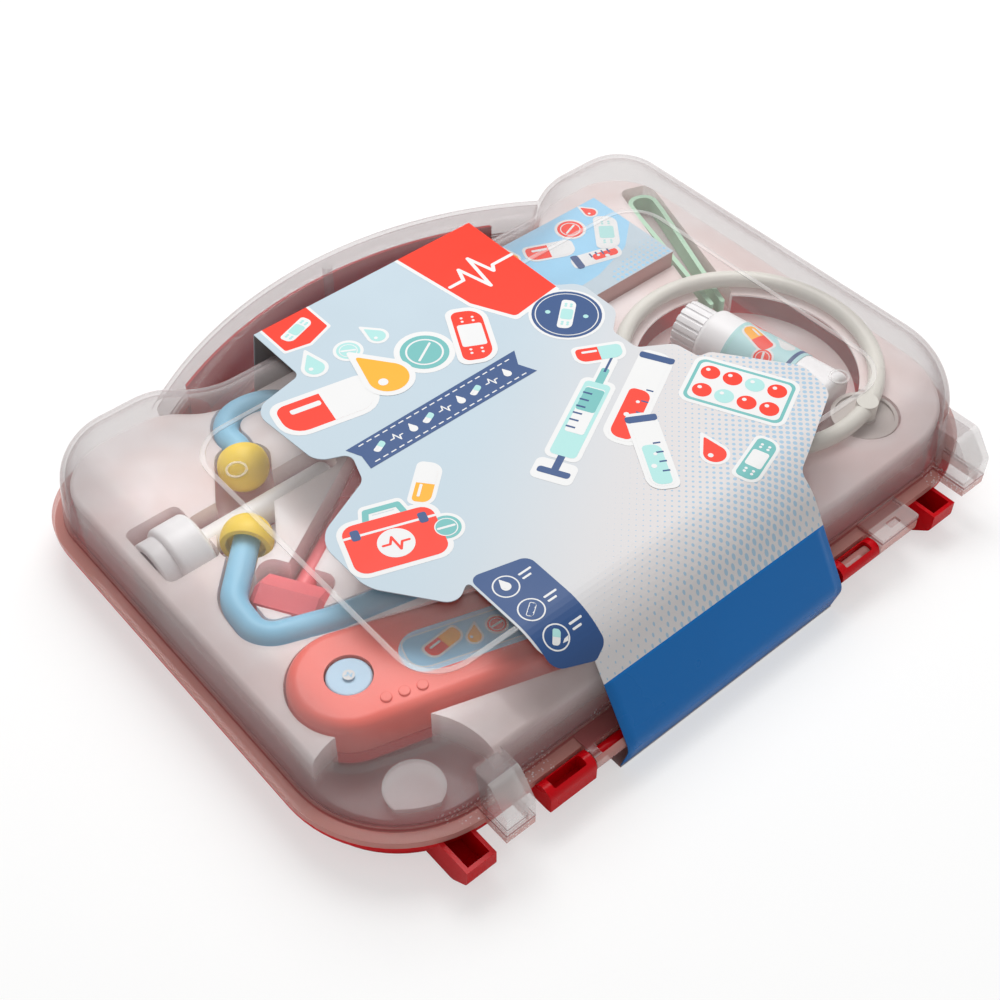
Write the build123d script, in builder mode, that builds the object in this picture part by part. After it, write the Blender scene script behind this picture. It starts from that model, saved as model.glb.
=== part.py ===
"""Toy doctor case: a red base and a clear domed lid on a pin hinge, with a two-part carrying
handle, a folded card sleeve and a formed tray of toy instruments.

Millimetres. +X runs along the hinge, +Y towards the handle and +Z up. The origin is at the
centre of the footprint, on the surface that the case lies on.
"""
import os
from math import cos, radians, sin, tan

from build123d import *

os.makedirs("parts", exist_ok=True)

# ---------------------------------------------------------------- driving dimensions
# Case in plan
case_width = 300.0  # over the rim, along X
left_x = -case_width / 2
right_x = case_width / 2
rim_near_y = -112.8  # rim on the hinge side
shoulder_y = 99.0  # rim on each side of the handle
waist_y = 85.0  # rim behind the hand hole
shoulder_width = 58.0  # along X, straight of each shoulder before its curves
waist_run = 16.0  # along X, from a shoulder to the waist
near_corner_radius = 45.0
far_corner_radius = 32.0
waist_outer_radius = 32.0
waist_inner_radius = 13.0

# Case in height
card_thickness = 0.5
parting_z = 14.0  # top of the red base
parting_gap = 0.2  # between the base and the lid
lid_top_z = 52.6
lid_wall = 1.6
lid_flange = 2.8
lid_draft = 8.0  # degrees
lid_shoulder_radius = 22.0
base_wall = 1.8
base_flange = 2.4
base_draft = 6.0  # degrees
base_edge_radius = 4.0
base_rim_inset = 0.5  # the red rim stays inside the clear one
wall_inset = 3.5  # from the rim to the foot of a wall
ridge_height = 0.8  # raised bead round the top of the lid
ridge_width = 1.8
ridge_half_x = right_x - 43.0
ridge_near_y = -86.0
ridge_far_y = 47.8
ridge_corner_radius = 16.0
gate_ring_diameter = 7.5
gate_ring_places = ((left_x + 51.2, 26.7), (right_x - 60.2, -74.7))

# Carrying handle
handle_outer_y = 122.5
handle_outer_radius = 165.0
handle_width = 19.5
handle_root = 8.0  # length buried in each shoulder
handle_top_z = 37.4
handle_bottom_z = 1.2
handle_edge_radius = 7.5
handle_lip_top_z = 25.0  # lip of the base inside the lid's half
handle_lip_wall = 1.2
handle_lip_clearance = 0.5  # from the lid's wall
peg_diameter = 4.0
peg_depth = 5.0  # into the base's half
peg_clearance = 0.35
peg_boss_diameter = 8.4

# Hinge
hinge_y = -116.8
knuckle_radius = 3.8
knuckle_length = 19.6
knuckle_gap = 0.4
knuckle_outer_x = right_x - 62.0  # outer end of each pair of knuckles
knuckle_drop = 5.8  # depth of a boxed knuckle from the hinge axis
knuckle_end_radius = 3.0
hinge_pin_diameter = 4.2
hinge_pin_clearance = 0.08  # radial
window_length = 13.6  # pocket and window in a knuckle, along X
window_width = 4.4
lug_recess = (5.6, 3.0, 1.2)

# Feet on the hinge side
foot_outer_y = -122.5
foot_width = 11.6
foot_inner_x = right_x - 54.0  # the base's right foot and the lid's left foot start here
foot_outer_x = right_x - 38.4  # the base's left foot and the lid's right foot start here
foot_wall = 1.5
foot_slope = 7.5
lid_foot_top_z = 36.8
base_foot_bottom_z = 0.8

# Card sleeve
sleeve_left_x = -56.0
sleeve_right_x = 46.3
sleeve_gap = 0.15  # over the ridge
sleeve_far_y = 79.0  # far upper fold
sleeve_far_seam_y = 86.4
sleeve_far_low_y = 84.9
sleeve_corner_y = -97.5  # where the top and near panels would meet, were the corner sharp
sleeve_corner_radius = 24.0
sleeve_bulge_y = -122.6
sleeve_bulge_z = 13.0
sleeve_bulge_radius = 7.0
sleeve_fold_y = -119.4
sleeve_band_z = 35.0  # where the near panel starts
sleeve_seam_gap = 0.4

# Formed tray
tray_top_z = 31.5
tray_inset = 9.0
tray_sheet = 0.8
tray_edge_radius = 2.0
toy_clearance = 0.8  # between a toy and the side of its pocket
toy_seat = 0.1  # between a toy and the floor of its pocket
corner_step_place = (left_x + 23.0, -99.0)
corner_step_radius = 31.0
corner_step_z = 15.5
corner_boss_place = (left_x + 31.0, -92.5)
corner_boss_radius = 10.0
corner_boss_z = 21.5

# Toy thermometer
thermometer_place = (left_x + 35.7, -54.5)  # centre of its button
thermometer_angle = -18.1
thermometer_radius = 20.0
thermometer_length = 70.0  # from the button to the centre of the far end
thermometer_far_radius = 17.5
thermometer_bottom_z = 13.2
thermometer_split_z = 22.0
thermometer_top_z = 35.4
thermometer_edge_radius = 4.0
thermometer_wall = 2.0
split_groove = 0.8
button_diameter = 15.0
button_clearance = 0.4
button_thickness = 2.0
button_set_back = 0.8
button_travel = 1.2
label_start = 17.0
label_length = 58.0
label_width = 17.0
label_thickness = 0.5
stud_radius = 1.9
stud_height = 0.7
stud_places = ((8.0, -12.6), (14.0, -12.6), (20.0, -12.6))  # beside the button
probe_diameter = 10.0
probe_length = 14.0
probe_grip = 2.0  # length held in the body

# Toy stethoscope
arm_diameter = 9.4
arm_z = 30.0
upper_arm_route = (
    (left_x + 63.6, 45.5), (left_x + 68.2, 55.5), (left_x + 67.4, 71.8),
    (left_x + 88.0, 71.2), (left_x + 122.0, 32.0), (left_x + 129.5, -5.5),
)
upper_arm_radii = (10.0, 11.0, 17.0, 20.0)
lower_arm_route = (
    (left_x + 46.6, 18.2), (left_x + 26.0, -3.0), (left_x + 24.5, -21.5),
    (left_x + 47.5, -30.5), (left_x + 94.0, -41.0), (left_x + 124.5, -17.5),
)
lower_arm_radii = (14.0, 9.5, 20.0, 16.0)
ear_tip_radius = 9.3
ear_tip_wall = 1.6
ear_tip_mouth = 3.4  # from the middle of the ball back to its rim
ear_tip_recess = 3.0  # depth of the recess round the arm
arm_insert = 1.6  # an arm ends this far past the middle of its ear tip
yoke_place = (left_x + 133.0, -13.0)
yoke_size = (20.0, 16.0, 11.0)
yoke_angle = -30.0
yoke_corner_radius = 5.0
chest_piece_place = (left_x + 162.0, -29.7)
chest_piece_radius = 18.0
chest_piece_height = 9.0
chest_stem_diameter = 8.0
chest_stem_grip = 5.0  # length held in the yoke
diaphragm_thickness = 1.2
diaphragm_inset = 1.5

# Toy torch
torch_axis = (31.0, 22.0)  # y, z
torch_front_x = left_x + 15.0
torch_lens_radius = 9.6
torch_lens_thickness = 1.6
torch_lens_set_back = 1.0
torch_collar_radius = 12.0
torch_collar_length = 6.0
torch_head_radius = 14.0
torch_head_length = 13.5
torch_head_step = 2.0
torch_barrel_radius = 5.5
torch_end_x = left_x + 90.0

# Toy hammer
hammer_place = (left_x + 43.5, -11.0, 21.0)
hammer_head_angle = -59.0
hammer_head_radius = 9.4
hammer_head_length = 26.0
hammer_head_chamfer = 2.4
hammer_handle_radius = 3.4
hammer_handle_length = 84.0
hammer_grip_radius = 3.9
hammer_grip_length = 34.0

# Toy bottle
bottle_place = (right_x - 58.0, 1.0, 27.1)  # centre of the cap's face
bottle_angle = -82.6
bottle_radius = 12.0
bottle_length = 68.5
bottle_edge_radius = 2.5
bottle_wall = 1.5
cap_length = 11.0
cap_radius = 9.8
cap_roof = 2.6
cap_flutes = 18
cap_flute_radius = 0.7
neck_radius = 6.5
neck_clearance = 0.08  # radial, in the cap
cap_gap = 0.4  # between the cap and the bottle's shoulder
label_band = (24.0, 52.0)
label_sheet = 0.3

# Headband with its mirror
headband_place = (right_x - 62.0, -35.0)
headband_radius = 48.0
headband_tube = 6.5
headband_opening = 40.0  # degrees
headband_end_radius = 2.8
mirror_bearing = -73.0  # degrees round the headband
mirror_radius = 12.4
mirror_thickness = 2.6
mirror_dish_depth = 0.9
mirror_rim = 1.4
mirror_hub_radius = 4.4
mirror_gap = 0.1  # above and below the mirror
rivet_boss_diameter = 8.0
rivet_diameter = 3.2
rivet_clearance = 0.08
rivet_head_diameter = 6.4
rivet_head_height = 1.2

# Carton and tweezers
carton_low = (right_x - 110.0, 27.0)
carton_high = (right_x - 40.0, 74.0)
carton_bottom_z = 17.6
carton_top_z = 38.2
carton_panel = 0.6
tweezers_heel = (right_x - 17.0, 70.0)
tweezers_angle = -109.4
tweezers_length = 74.0
tweezers_spread = 9.0
tweezers_tip_spread = 3.0
tweezers_heel_length = 12.0
tweezers_arm = 2.0
tweezers_bottom_z = 22.2
tweezers_height = 7.6

# ---------------------------------------------------------------- derived sizes
base_bottom_z = card_thickness
base_floor_z = base_bottom_z + base_wall
lid_bottom_z = parting_z + parting_gap
hinge_z = parting_z
ridge_top_z = lid_top_z + ridge_height
card_mid_z = ridge_top_z + sleeve_gap + card_thickness / 2
tray_bottom_z = base_floor_z + toy_seat
shoulder_x = right_x - shoulder_width
waist_x = shoulder_x - waist_run
handle_reach = shoulder_x + handle_root
peg_y = handle_outer_y - handle_width / 2


# ---------------------------------------------------------------- shared outlines
def case_outline(inset, height):
    """Plan outline of the case, moved in from the rim."""
    corners = (
        ((left_x, rim_near_y), near_corner_radius),
        ((right_x, rim_near_y), near_corner_radius),
        ((right_x, shoulder_y), far_corner_radius),
        ((shoulder_x, shoulder_y), waist_outer_radius),
        ((waist_x, waist_y), waist_inner_radius),
        ((-waist_x, waist_y), waist_inner_radius),
        ((-shoulder_x, shoulder_y), waist_outer_radius),
        ((left_x, shoulder_y), far_corner_radius),
    )
    with BuildSketch(Plane.XY.offset(height)) as outline:
        with BuildLine():
            FilletPolyline(*[c[0] for c in corners], radius=[c[1] for c in corners], close=True)
        make_face()
        if inset:
            offset(amount=-inset, mode=Mode.REPLACE)
    return outline.sketch


def handle_outline(inset, height):
    """Plan outline of the carrying handle: a ring sector that ends inside the shoulders."""
    with BuildSketch(Plane.XY.offset(height)) as outline:
        with Locations((0, handle_outer_y - handle_outer_radius)):
            Circle(handle_outer_radius - inset)
            Circle(handle_outer_radius - handle_width + inset, mode=Mode.SUBTRACT)
        with Locations((0, handle_outer_y)):
            Rectangle(2 * handle_reach, 2 * handle_outer_y, mode=Mode.INTERSECT)
    return outline.sketch


def bar(place, angle, start, end, width, height):
    """Round-ended bar in plan, from one distance to another along its own axis."""
    with BuildSketch(Plane.XY.offset(height)) as outline:
        with Locations(Location((*place, 0), (0, 0, angle))):
            with Locations(((start + end) / 2, 0)):
                SlotOverall(end - start, width)
    return outline.sketch


def block(place, angle, length, width, height, radius=0.0):
    """Rectangle in plan about a centre, with its corners rounded."""
    with BuildSketch(Plane.XY.offset(height)) as outline:
        with Locations(Location((*place, 0), (0, 0, angle))):
            if radius:
                RectangleRounded(length, width, radius)
            else:
                Rectangle(length, width)
    return outline.sketch


def disc(place, radius, height):
    """Circle in plan."""
    with BuildSketch(Plane.XY.offset(height)) as outline:
        with Locations(place):
            Circle(radius)
    return outline.sketch


def channel(route, radii, width, height):
    """Plan outline of the groove that an arm lies in."""
    with BuildSketch(Plane.XY.offset(height)) as outline:
        with BuildLine():
            FilletPolyline(*route, radius=radii)
            offset(amount=width / 2, side=Side.BOTH, mode=Mode.REPLACE)
        make_face()
    return outline.sketch


def section_on_hinge(x):
    """Plane across the hinge at a distance along X: its own X is +Y and its own Y is +Z."""
    return Plane.YZ.offset(x)


# ---------------------------------------------------------------- pieces shared by both shells
def foot(start_x, shell_edge_z, end_z, inset):
    """Foot on the hinge side, from the parting plane to its rounded outer corner."""
    rise = end_z - shell_edge_z
    up = 1 if rise > 0 else -1
    root_y = rim_near_y + 2 * wall_inset + foot_slope
    mouth_z = shell_edge_z - (up if inset else 0)
    with BuildPart() as block_of_foot:
        with BuildSketch(section_on_hinge(start_x + inset)):
            with BuildLine():
                FilletPolyline(
                    (root_y, mouth_z),
                    (foot_outer_y + inset, mouth_z),
                    (foot_outer_y + inset, shell_edge_z + 0.55 * rise),
                    (foot_outer_y + inset + foot_slope, end_z - up * inset),
                    (root_y, end_z - up * inset),
                    radius=[0, 0, foot_slope / 2, foot_slope / 2, 0],
                    close=True,
                )
            make_face()
        extrude(amount=foot_width - 2 * inset)
    return block_of_foot.part


def knuckle(start_x, up, boxed, outer_end):
    """Hinge knuckle on a shell: a barrel round the pin, with a web or a box back to the wall."""
    root_y = rim_near_y + wall_inset + 0.6
    face_z = parting_z if up < 0 else lid_bottom_z
    depth = knuckle_drop if boxed else knuckle_radius
    front_y = hinge_y - knuckle_radius if boxed else hinge_y
    with BuildPart() as barrel:
        with BuildSketch(section_on_hinge(start_x)):
            with Locations((hinge_y, hinge_z)):
                Circle(knuckle_radius)
            with BuildLine():
                Polyline(
                    (front_y, face_z), (root_y, face_z), (root_y, hinge_z + up * depth),
                    (front_y, hinge_z + up * depth), close=True,
                )
            make_face()
        extrude(amount=knuckle_length)
        if outer_end:
            end_x = start_x + (knuckle_length if outer_end > 0 else 0)
            with BuildSketch(Plane.XY.offset(hinge_z - 2 * knuckle_radius)):
                with Locations((start_x + knuckle_length / 2, hinge_y)):
                    Rectangle(knuckle_length, 2 * (root_y - hinge_y))
                corner = Vector(end_x, 2 * hinge_y - root_y)
                fillet(vertices().sort_by_distance(corner)[0:1], 2 * knuckle_end_radius)
            extrude(amount=4 * knuckle_radius, mode=Mode.INTERSECT)
    return barrel.part


def hinge_pin(start_x, length, radius):
    """Round bar on the hinge axis."""
    with BuildPart() as pin:
        with BuildSketch(section_on_hinge(start_x)):
            with Locations((hinge_y, hinge_z)):
                Circle(radius)
        extrude(amount=length)
    return pin.part


def knuckle_window(start_x, low_z, high_z, length=window_length, width=window_width):
    """Rectangular opening in the middle of a knuckle."""
    middle = (start_x + knuckle_length / 2, hinge_y)
    with BuildPart() as window:
        extrude(block(middle, 0, length, width, low_z, 0.6), amount=high_z - low_z)
    return window.part


def handle_lip(inset, height):
    """Plan outline of the lip inside the handle's outer wall."""
    with BuildSketch(Plane.XY.offset(height)) as outline:
        with Locations((0, handle_outer_y - handle_outer_radius)):
            Circle(handle_outer_radius - inset)
            Circle(
                handle_outer_radius - lid_wall - handle_lip_clearance - handle_lip_wall,
                mode=Mode.SUBTRACT,
            )
        with Locations((0, handle_outer_y)):
            Rectangle(2 * waist_x, 2 * handle_outer_y, mode=Mode.INTERSECT)
    return outline.sketch


pin_radius = hinge_pin_diameter / 2
bore_radius = pin_radius + hinge_pin_clearance
inner_knuckle_x = knuckle_outer_x - 2 * knuckle_length - knuckle_gap
outer_knuckle_x = knuckle_outer_x - knuckle_length
pin_length = knuckle_length + knuckle_gap
window_low_z = hinge_z - 2 * knuckle_radius
window_high_z = hinge_z + 2 * knuckle_radius

# ---------------------------------------------------------------- base shell
base_height = parting_z - base_bottom_z
base_bottom_inset = wall_inset + base_height * tan(radians(base_draft))

with BuildPart() as base_body:
    extrude(case_outline(base_bottom_inset, base_bottom_z), amount=base_height, taper=-base_draft)
    fillet(base_body.faces().sort_by(Axis.Z)[0].edges(), base_edge_radius)

with BuildPart() as base_hollow:
    extrude(
        case_outline(base_bottom_inset + base_wall, base_floor_z),
        amount=base_height,
        taper=-base_draft,
    )
    fillet(base_hollow.faces().sort_by(Axis.Z)[0].edges(), base_edge_radius - base_wall)

with BuildPart() as base_outer_hollows:
    extrude(handle_outline(base_wall, handle_bottom_z + base_wall), amount=base_height)
    for start_x in (-foot_outer_x - foot_width, foot_inner_x):
        add(foot(start_x, parting_z, base_foot_bottom_z, foot_wall))
    add(base_body.part, mode=Mode.SUBTRACT)

with BuildPart() as base_shell:
    extrude(handle_outline(0, handle_bottom_z), amount=parting_z - handle_bottom_z)
    fillet(base_shell.faces().sort_by(Axis.Z)[0].edges().filter_by(GeomType.CIRCLE), base_edge_radius)
    add(base_body.part)
    extrude(case_outline(base_rim_inset, parting_z - base_flange), amount=base_flange)
    for start_x in (-foot_outer_x - foot_width, foot_inner_x):
        add(foot(start_x, parting_z, base_foot_bottom_z, 0))
    add(base_hollow.part, mode=Mode.SUBTRACT)
    add(base_outer_hollows.part, mode=Mode.SUBTRACT)
    # A boss in the handle takes the lid's peg, and a lip stands inside the lid's half.
    socket_radius = peg_diameter / 2 + peg_clearance
    socket_z = parting_z - peg_depth - peg_clearance
    boss = disc((0, peg_y), peg_boss_diameter / 2, handle_bottom_z)
    extrude(boss, amount=parting_z - handle_bottom_z)
    extrude(disc((0, peg_y), socket_radius, socket_z), amount=base_height, mode=Mode.SUBTRACT)
    lip_foot_z = handle_bottom_z + base_wall / 2
    extrude(handle_lip(base_wall / 2, lip_foot_z), amount=parting_z - lip_foot_z)
    upper_lip = handle_lip(lid_wall + handle_lip_clearance, parting_z)
    extrude(upper_lip, amount=handle_lip_top_z - parting_z)
    # Left: a boxed knuckle that carries the pin. Right: a windowed knuckle that turns on the lid's pin.
    add(knuckle(-knuckle_outer_x, -1, True, -1))
    add(knuckle_window(-knuckle_outer_x, hinge_z - knuckle_radius + 0.4, window_high_z), mode=Mode.SUBTRACT)
    add(hinge_pin(-outer_knuckle_x, pin_length - knuckle_gap, pin_radius))
    add(knuckle(inner_knuckle_x, -1, False, 1))
    add(hinge_pin(inner_knuckle_x - 1, knuckle_length + 2, bore_radius), mode=Mode.SUBTRACT)
    add(knuckle_window(inner_knuckle_x, window_low_z, window_high_z), mode=Mode.SUBTRACT)

base_shell.part.label = "base_shell"
export_step(base_shell.part, "parts/base_shell.step")

# ---------------------------------------------------------------- lid shell
dome_height = lid_top_z - lid_bottom_z

with BuildPart() as dome_body:
    extrude(case_outline(wall_inset, lid_bottom_z), amount=dome_height, taper=lid_draft)
    fillet(dome_body.faces().sort_by(Axis.Z)[-1].edges(), lid_shoulder_radius)

with BuildPart() as dome_hollow:
    extrude(
        case_outline(wall_inset + lid_wall, lid_bottom_z),
        amount=dome_height - lid_wall,
        taper=lid_draft,
    )
    fillet(dome_hollow.faces().sort_by(Axis.Z)[-1].edges(), lid_shoulder_radius - lid_wall)

with BuildPart() as lid_outer_hollows:
    extrude(handle_outline(lid_wall, lid_bottom_z), amount=handle_top_z - lid_wall - lid_bottom_z)
    fillet(
        lid_outer_hollows.faces().sort_by(Axis.Z)[-1].edges().filter_by(GeomType.CIRCLE),
        handle_edge_radius - lid_wall,
    )
    for start_x in (-foot_inner_x - foot_width, foot_outer_x):
        add(foot(start_x, lid_bottom_z, lid_foot_top_z, foot_wall))
    add(dome_body.part, mode=Mode.SUBTRACT)

with BuildPart() as lid_shell:
    extrude(handle_outline(0, lid_bottom_z), amount=handle_top_z - lid_bottom_z)
    fillet(lid_shell.faces().sort_by(Axis.Z)[-1].edges().filter_by(GeomType.CIRCLE), handle_edge_radius)
    add(dome_body.part)
    extrude(case_outline(0, lid_bottom_z), amount=lid_flange)
    for start_x in (-foot_inner_x - foot_width, foot_outer_x):
        add(foot(start_x, lid_bottom_z, lid_foot_top_z, 0))
    # Bead round the flat of the top, and two gate marks.
    ridge_length_y = ridge_far_y - ridge_near_y
    ridge_middle = (0, (ridge_near_y + ridge_far_y) / 2)
    with BuildSketch(Plane.XY.offset(lid_top_z - ridge_height)):
        with Locations(ridge_middle):
            RectangleRounded(2 * ridge_half_x, ridge_length_y, ridge_corner_radius)
            RectangleRounded(
                2 * (ridge_half_x - ridge_width), ridge_length_y - 2 * ridge_width,
                ridge_corner_radius - ridge_width, mode=Mode.SUBTRACT,
            )
        with Locations(*gate_ring_places):
            Circle(gate_ring_diameter / 2)
            Circle(gate_ring_diameter / 2 - ridge_height, mode=Mode.SUBTRACT)
    extrude(amount=2 * ridge_height)
    add(dome_hollow.part, mode=Mode.SUBTRACT)
    add(lid_outer_hollows.part, mode=Mode.SUBTRACT)
    # A peg inside the handle snaps into the base's boss.
    peg_length = handle_top_z - lid_wall / 2 - parting_z + peg_depth
    extrude(disc((0, peg_y), peg_diameter / 2, parting_z - peg_depth), amount=peg_length)
    # Right: a lug that carries the pin. Left: a windowed knuckle that turns on the base's pin.
    add(knuckle(outer_knuckle_x, 1, True, 1))
    recess_length, recess_width, recess_depth = lug_recess
    lug_top_z = hinge_z + knuckle_drop
    add(
        knuckle_window(
            outer_knuckle_x, lug_top_z - recess_depth, lug_top_z + 1, recess_length, recess_width
        ),
        mode=Mode.SUBTRACT,
    )
    add(hinge_pin(outer_knuckle_x - pin_length + knuckle_gap, pin_length, pin_radius))
    turning_x = -inner_knuckle_x - knuckle_length
    add(knuckle(turning_x, 1, False, 0))
    add(hinge_pin(turning_x - 1, knuckle_length + 2, bore_radius), mode=Mode.SUBTRACT)
    add(knuckle_window(turning_x, window_low_z, window_high_z), mode=Mode.SUBTRACT)

lid_shell.part.label = "lid_shell"
export_step(lid_shell.part, "parts/lid_shell.step")

# ---------------------------------------------------------------- card sleeve
# The sleeve is one printed card, folded round the case. It is made in three panels: the front
# rides on the lid, the back lies under the base, and the near side bends between them.
near_slope = Vector(sleeve_bulge_y - sleeve_corner_y, sleeve_bulge_z - card_mid_z)
band_share = (card_mid_z - sleeve_band_z) / (card_mid_z - sleeve_bulge_z)
band_point = Vector(sleeve_corner_y, card_mid_z) + near_slope * band_share
sleeve_low_z = card_thickness / 2
fold_slope = (sleeve_fold_y - sleeve_bulge_y) / (sleeve_bulge_z - 2 * card_thickness)
fold_low_y = sleeve_fold_y + fold_slope * (2 * card_thickness - sleeve_low_z)
sleeve_width = sleeve_right_x - sleeve_left_x

# Outline of the front panel's printed lobes, from the far fold to the near panel.
left_lobes = (
    ((-56.0, 50.5), 3.0), ((-79.0, 46.0), 8.0), ((-76.5, 12.0), 7.0), ((-65.5, 7.0), 3.5),
    ((-70.0, -5.5), 5.0), ((-97.0, -17.0), 11.0), ((-97.0, -43.0), 13.0), ((-79.5, -66.5), 5.0),
    ((-71.4, -61.5), 2.0), ((-71.4, -98.0), 9.0), ((-56.0, -103.5), 2.0),
)
right_lobes = (
    ((46.3, -96.0), 4.0), ((81.0, -78.0), 7.0), ((84.0, -63.0), 6.0), ((64.0, -36.0), 3.5),
    ((59.0, -35.0), 2.0), ((57.5, -24.5), 4.5), ((45.5, -17.0), 3.0), ((45.0, -5.0), 3.5),
    ((54.5, 3.0), 7.0), ((54.5, 23.0), 7.0), ((46.3, 28.5), 3.0),
)

with BuildPart() as sleeve_front:
    with BuildSketch(section_on_hinge(2 * sleeve_left_x)):
        with BuildLine() as front_section:
            FilletPolyline(
                (sleeve_far_seam_y, parting_z + sleeve_seam_gap / 2),
                (sleeve_far_y, card_mid_z),
                (sleeve_corner_y, card_mid_z),
                (band_point.X, band_point.Y),
                radius=[2 * card_thickness, sleeve_corner_radius],
            )
        trace(front_section.line, line_width=card_thickness)
    extrude(amount=-4 * sleeve_left_x)
    with BuildSketch():
        with BuildLine():
            outline_points = (
                [((sleeve_left_x, 2 * sleeve_far_y), 0)] + list(left_lobes)
                + [((sleeve_left_x, 2 * sleeve_fold_y), 0), ((sleeve_right_x, 2 * sleeve_fold_y), 0)]
                + list(right_lobes) + [((sleeve_right_x, 2 * sleeve_far_y), 0)]
            )
            FilletPolyline(
                *[p[0] for p in outline_points], radius=[p[1] for p in outline_points], close=True
            )
        make_face()
    extrude(amount=2 * lid_top_z, mode=Mode.INTERSECT)

with BuildPart() as sleeve_side:
    with BuildSketch(section_on_hinge(sleeve_left_x)):
        with BuildLine() as side_section:
            FilletPolyline(
                (band_point.X, band_point.Y),
                (sleeve_bulge_y, sleeve_bulge_z),
                (sleeve_fold_y, 2 * card_thickness),
                radius=[sleeve_bulge_radius],
            )
        trace(side_section.line, line_width=card_thickness)
    extrude(amount=sleeve_width)

with BuildPart() as sleeve_back:
    with BuildSketch(section_on_hinge(sleeve_left_x)):
        with BuildLine() as back_section:
            FilletPolyline(
                (sleeve_fold_y, 2 * card_thickness),
                (fold_low_y, sleeve_low_z),
                (sleeve_far_low_y, sleeve_low_z),
                (sleeve_far_seam_y, parting_z - sleeve_seam_gap / 2),
                radius=[card_thickness / 2, 2 * card_thickness],
            )
        trace(back_section.line, line_width=card_thickness)
    extrude(amount=sleeve_width)

sleeve_front.part.label = "sleeve_front"
export_step(sleeve_front.part, "parts/sleeve_front.step")
sleeve_side.part.label = "sleeve_side"
export_step(sleeve_side.part, "parts/sleeve_side.step")
sleeve_back.part.label = "sleeve_back"
export_step(sleeve_back.part, "parts/sleeve_back.step")

# ---------------------------------------------------------------- tray
thermometer_heading = Vector(cos(radians(thermometer_angle)), sin(radians(thermometer_angle)))
thermometer_end = Vector(*thermometer_place) + thermometer_heading * thermometer_length
bottle_heading = Vector(cos(radians(bottle_angle)), sin(radians(bottle_angle)))
bottle_middle = Vector(*bottle_place[:2]) + bottle_heading * (bottle_length / 2)
yoke_heading = Vector(cos(radians(yoke_angle)), sin(radians(yoke_angle)))
mirror_place = (
    headband_place[0] + headband_radius * cos(radians(mirror_bearing)),
    headband_place[1] + headband_radius * sin(radians(mirror_bearing)),
)
torch_y, torch_z = torch_axis
torch_head_x = torch_front_x + torch_collar_length
torch_barrel_x = torch_head_x + torch_head_length
ball_tip_heading = (Vector(*upper_arm_route[0]) - Vector(*upper_arm_route[1])).normalized()
cup_tip_heading = (Vector(*lower_arm_route[0]) - Vector(*lower_arm_route[1])).normalized()
ball_tip_place = Vector(*upper_arm_route[0]) - ball_tip_heading * arm_insert
cup_tip_place = Vector(*lower_arm_route[0]) - cup_tip_heading * arm_insert
tips_middle = (ball_tip_place + cup_tip_place) * 0.5
tips_apart = ball_tip_place - cup_tip_place
tips_angle = tips_apart.get_signed_angle(Vector(1, 0))
hammer_handle_angle = hammer_head_angle + 90
carton_middle = ((carton_low[0] + carton_high[0]) / 2, (carton_low[1] + carton_high[1]) / 2)
carton_size = (carton_high[0] - carton_low[0], carton_high[1] - carton_low[1])
arm_floor_z = arm_z - arm_diameter / 2 - toy_seat
headband_z = tray_top_z + toy_seat + headband_tube / 2
mirror_z = headband_z - headband_tube / 2 - mirror_thickness - 0.6
hammer_floor_z = hammer_place[2] - hammer_head_radius - toy_seat
handle_floor_z = hammer_place[2] - hammer_grip_radius - toy_seat


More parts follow.
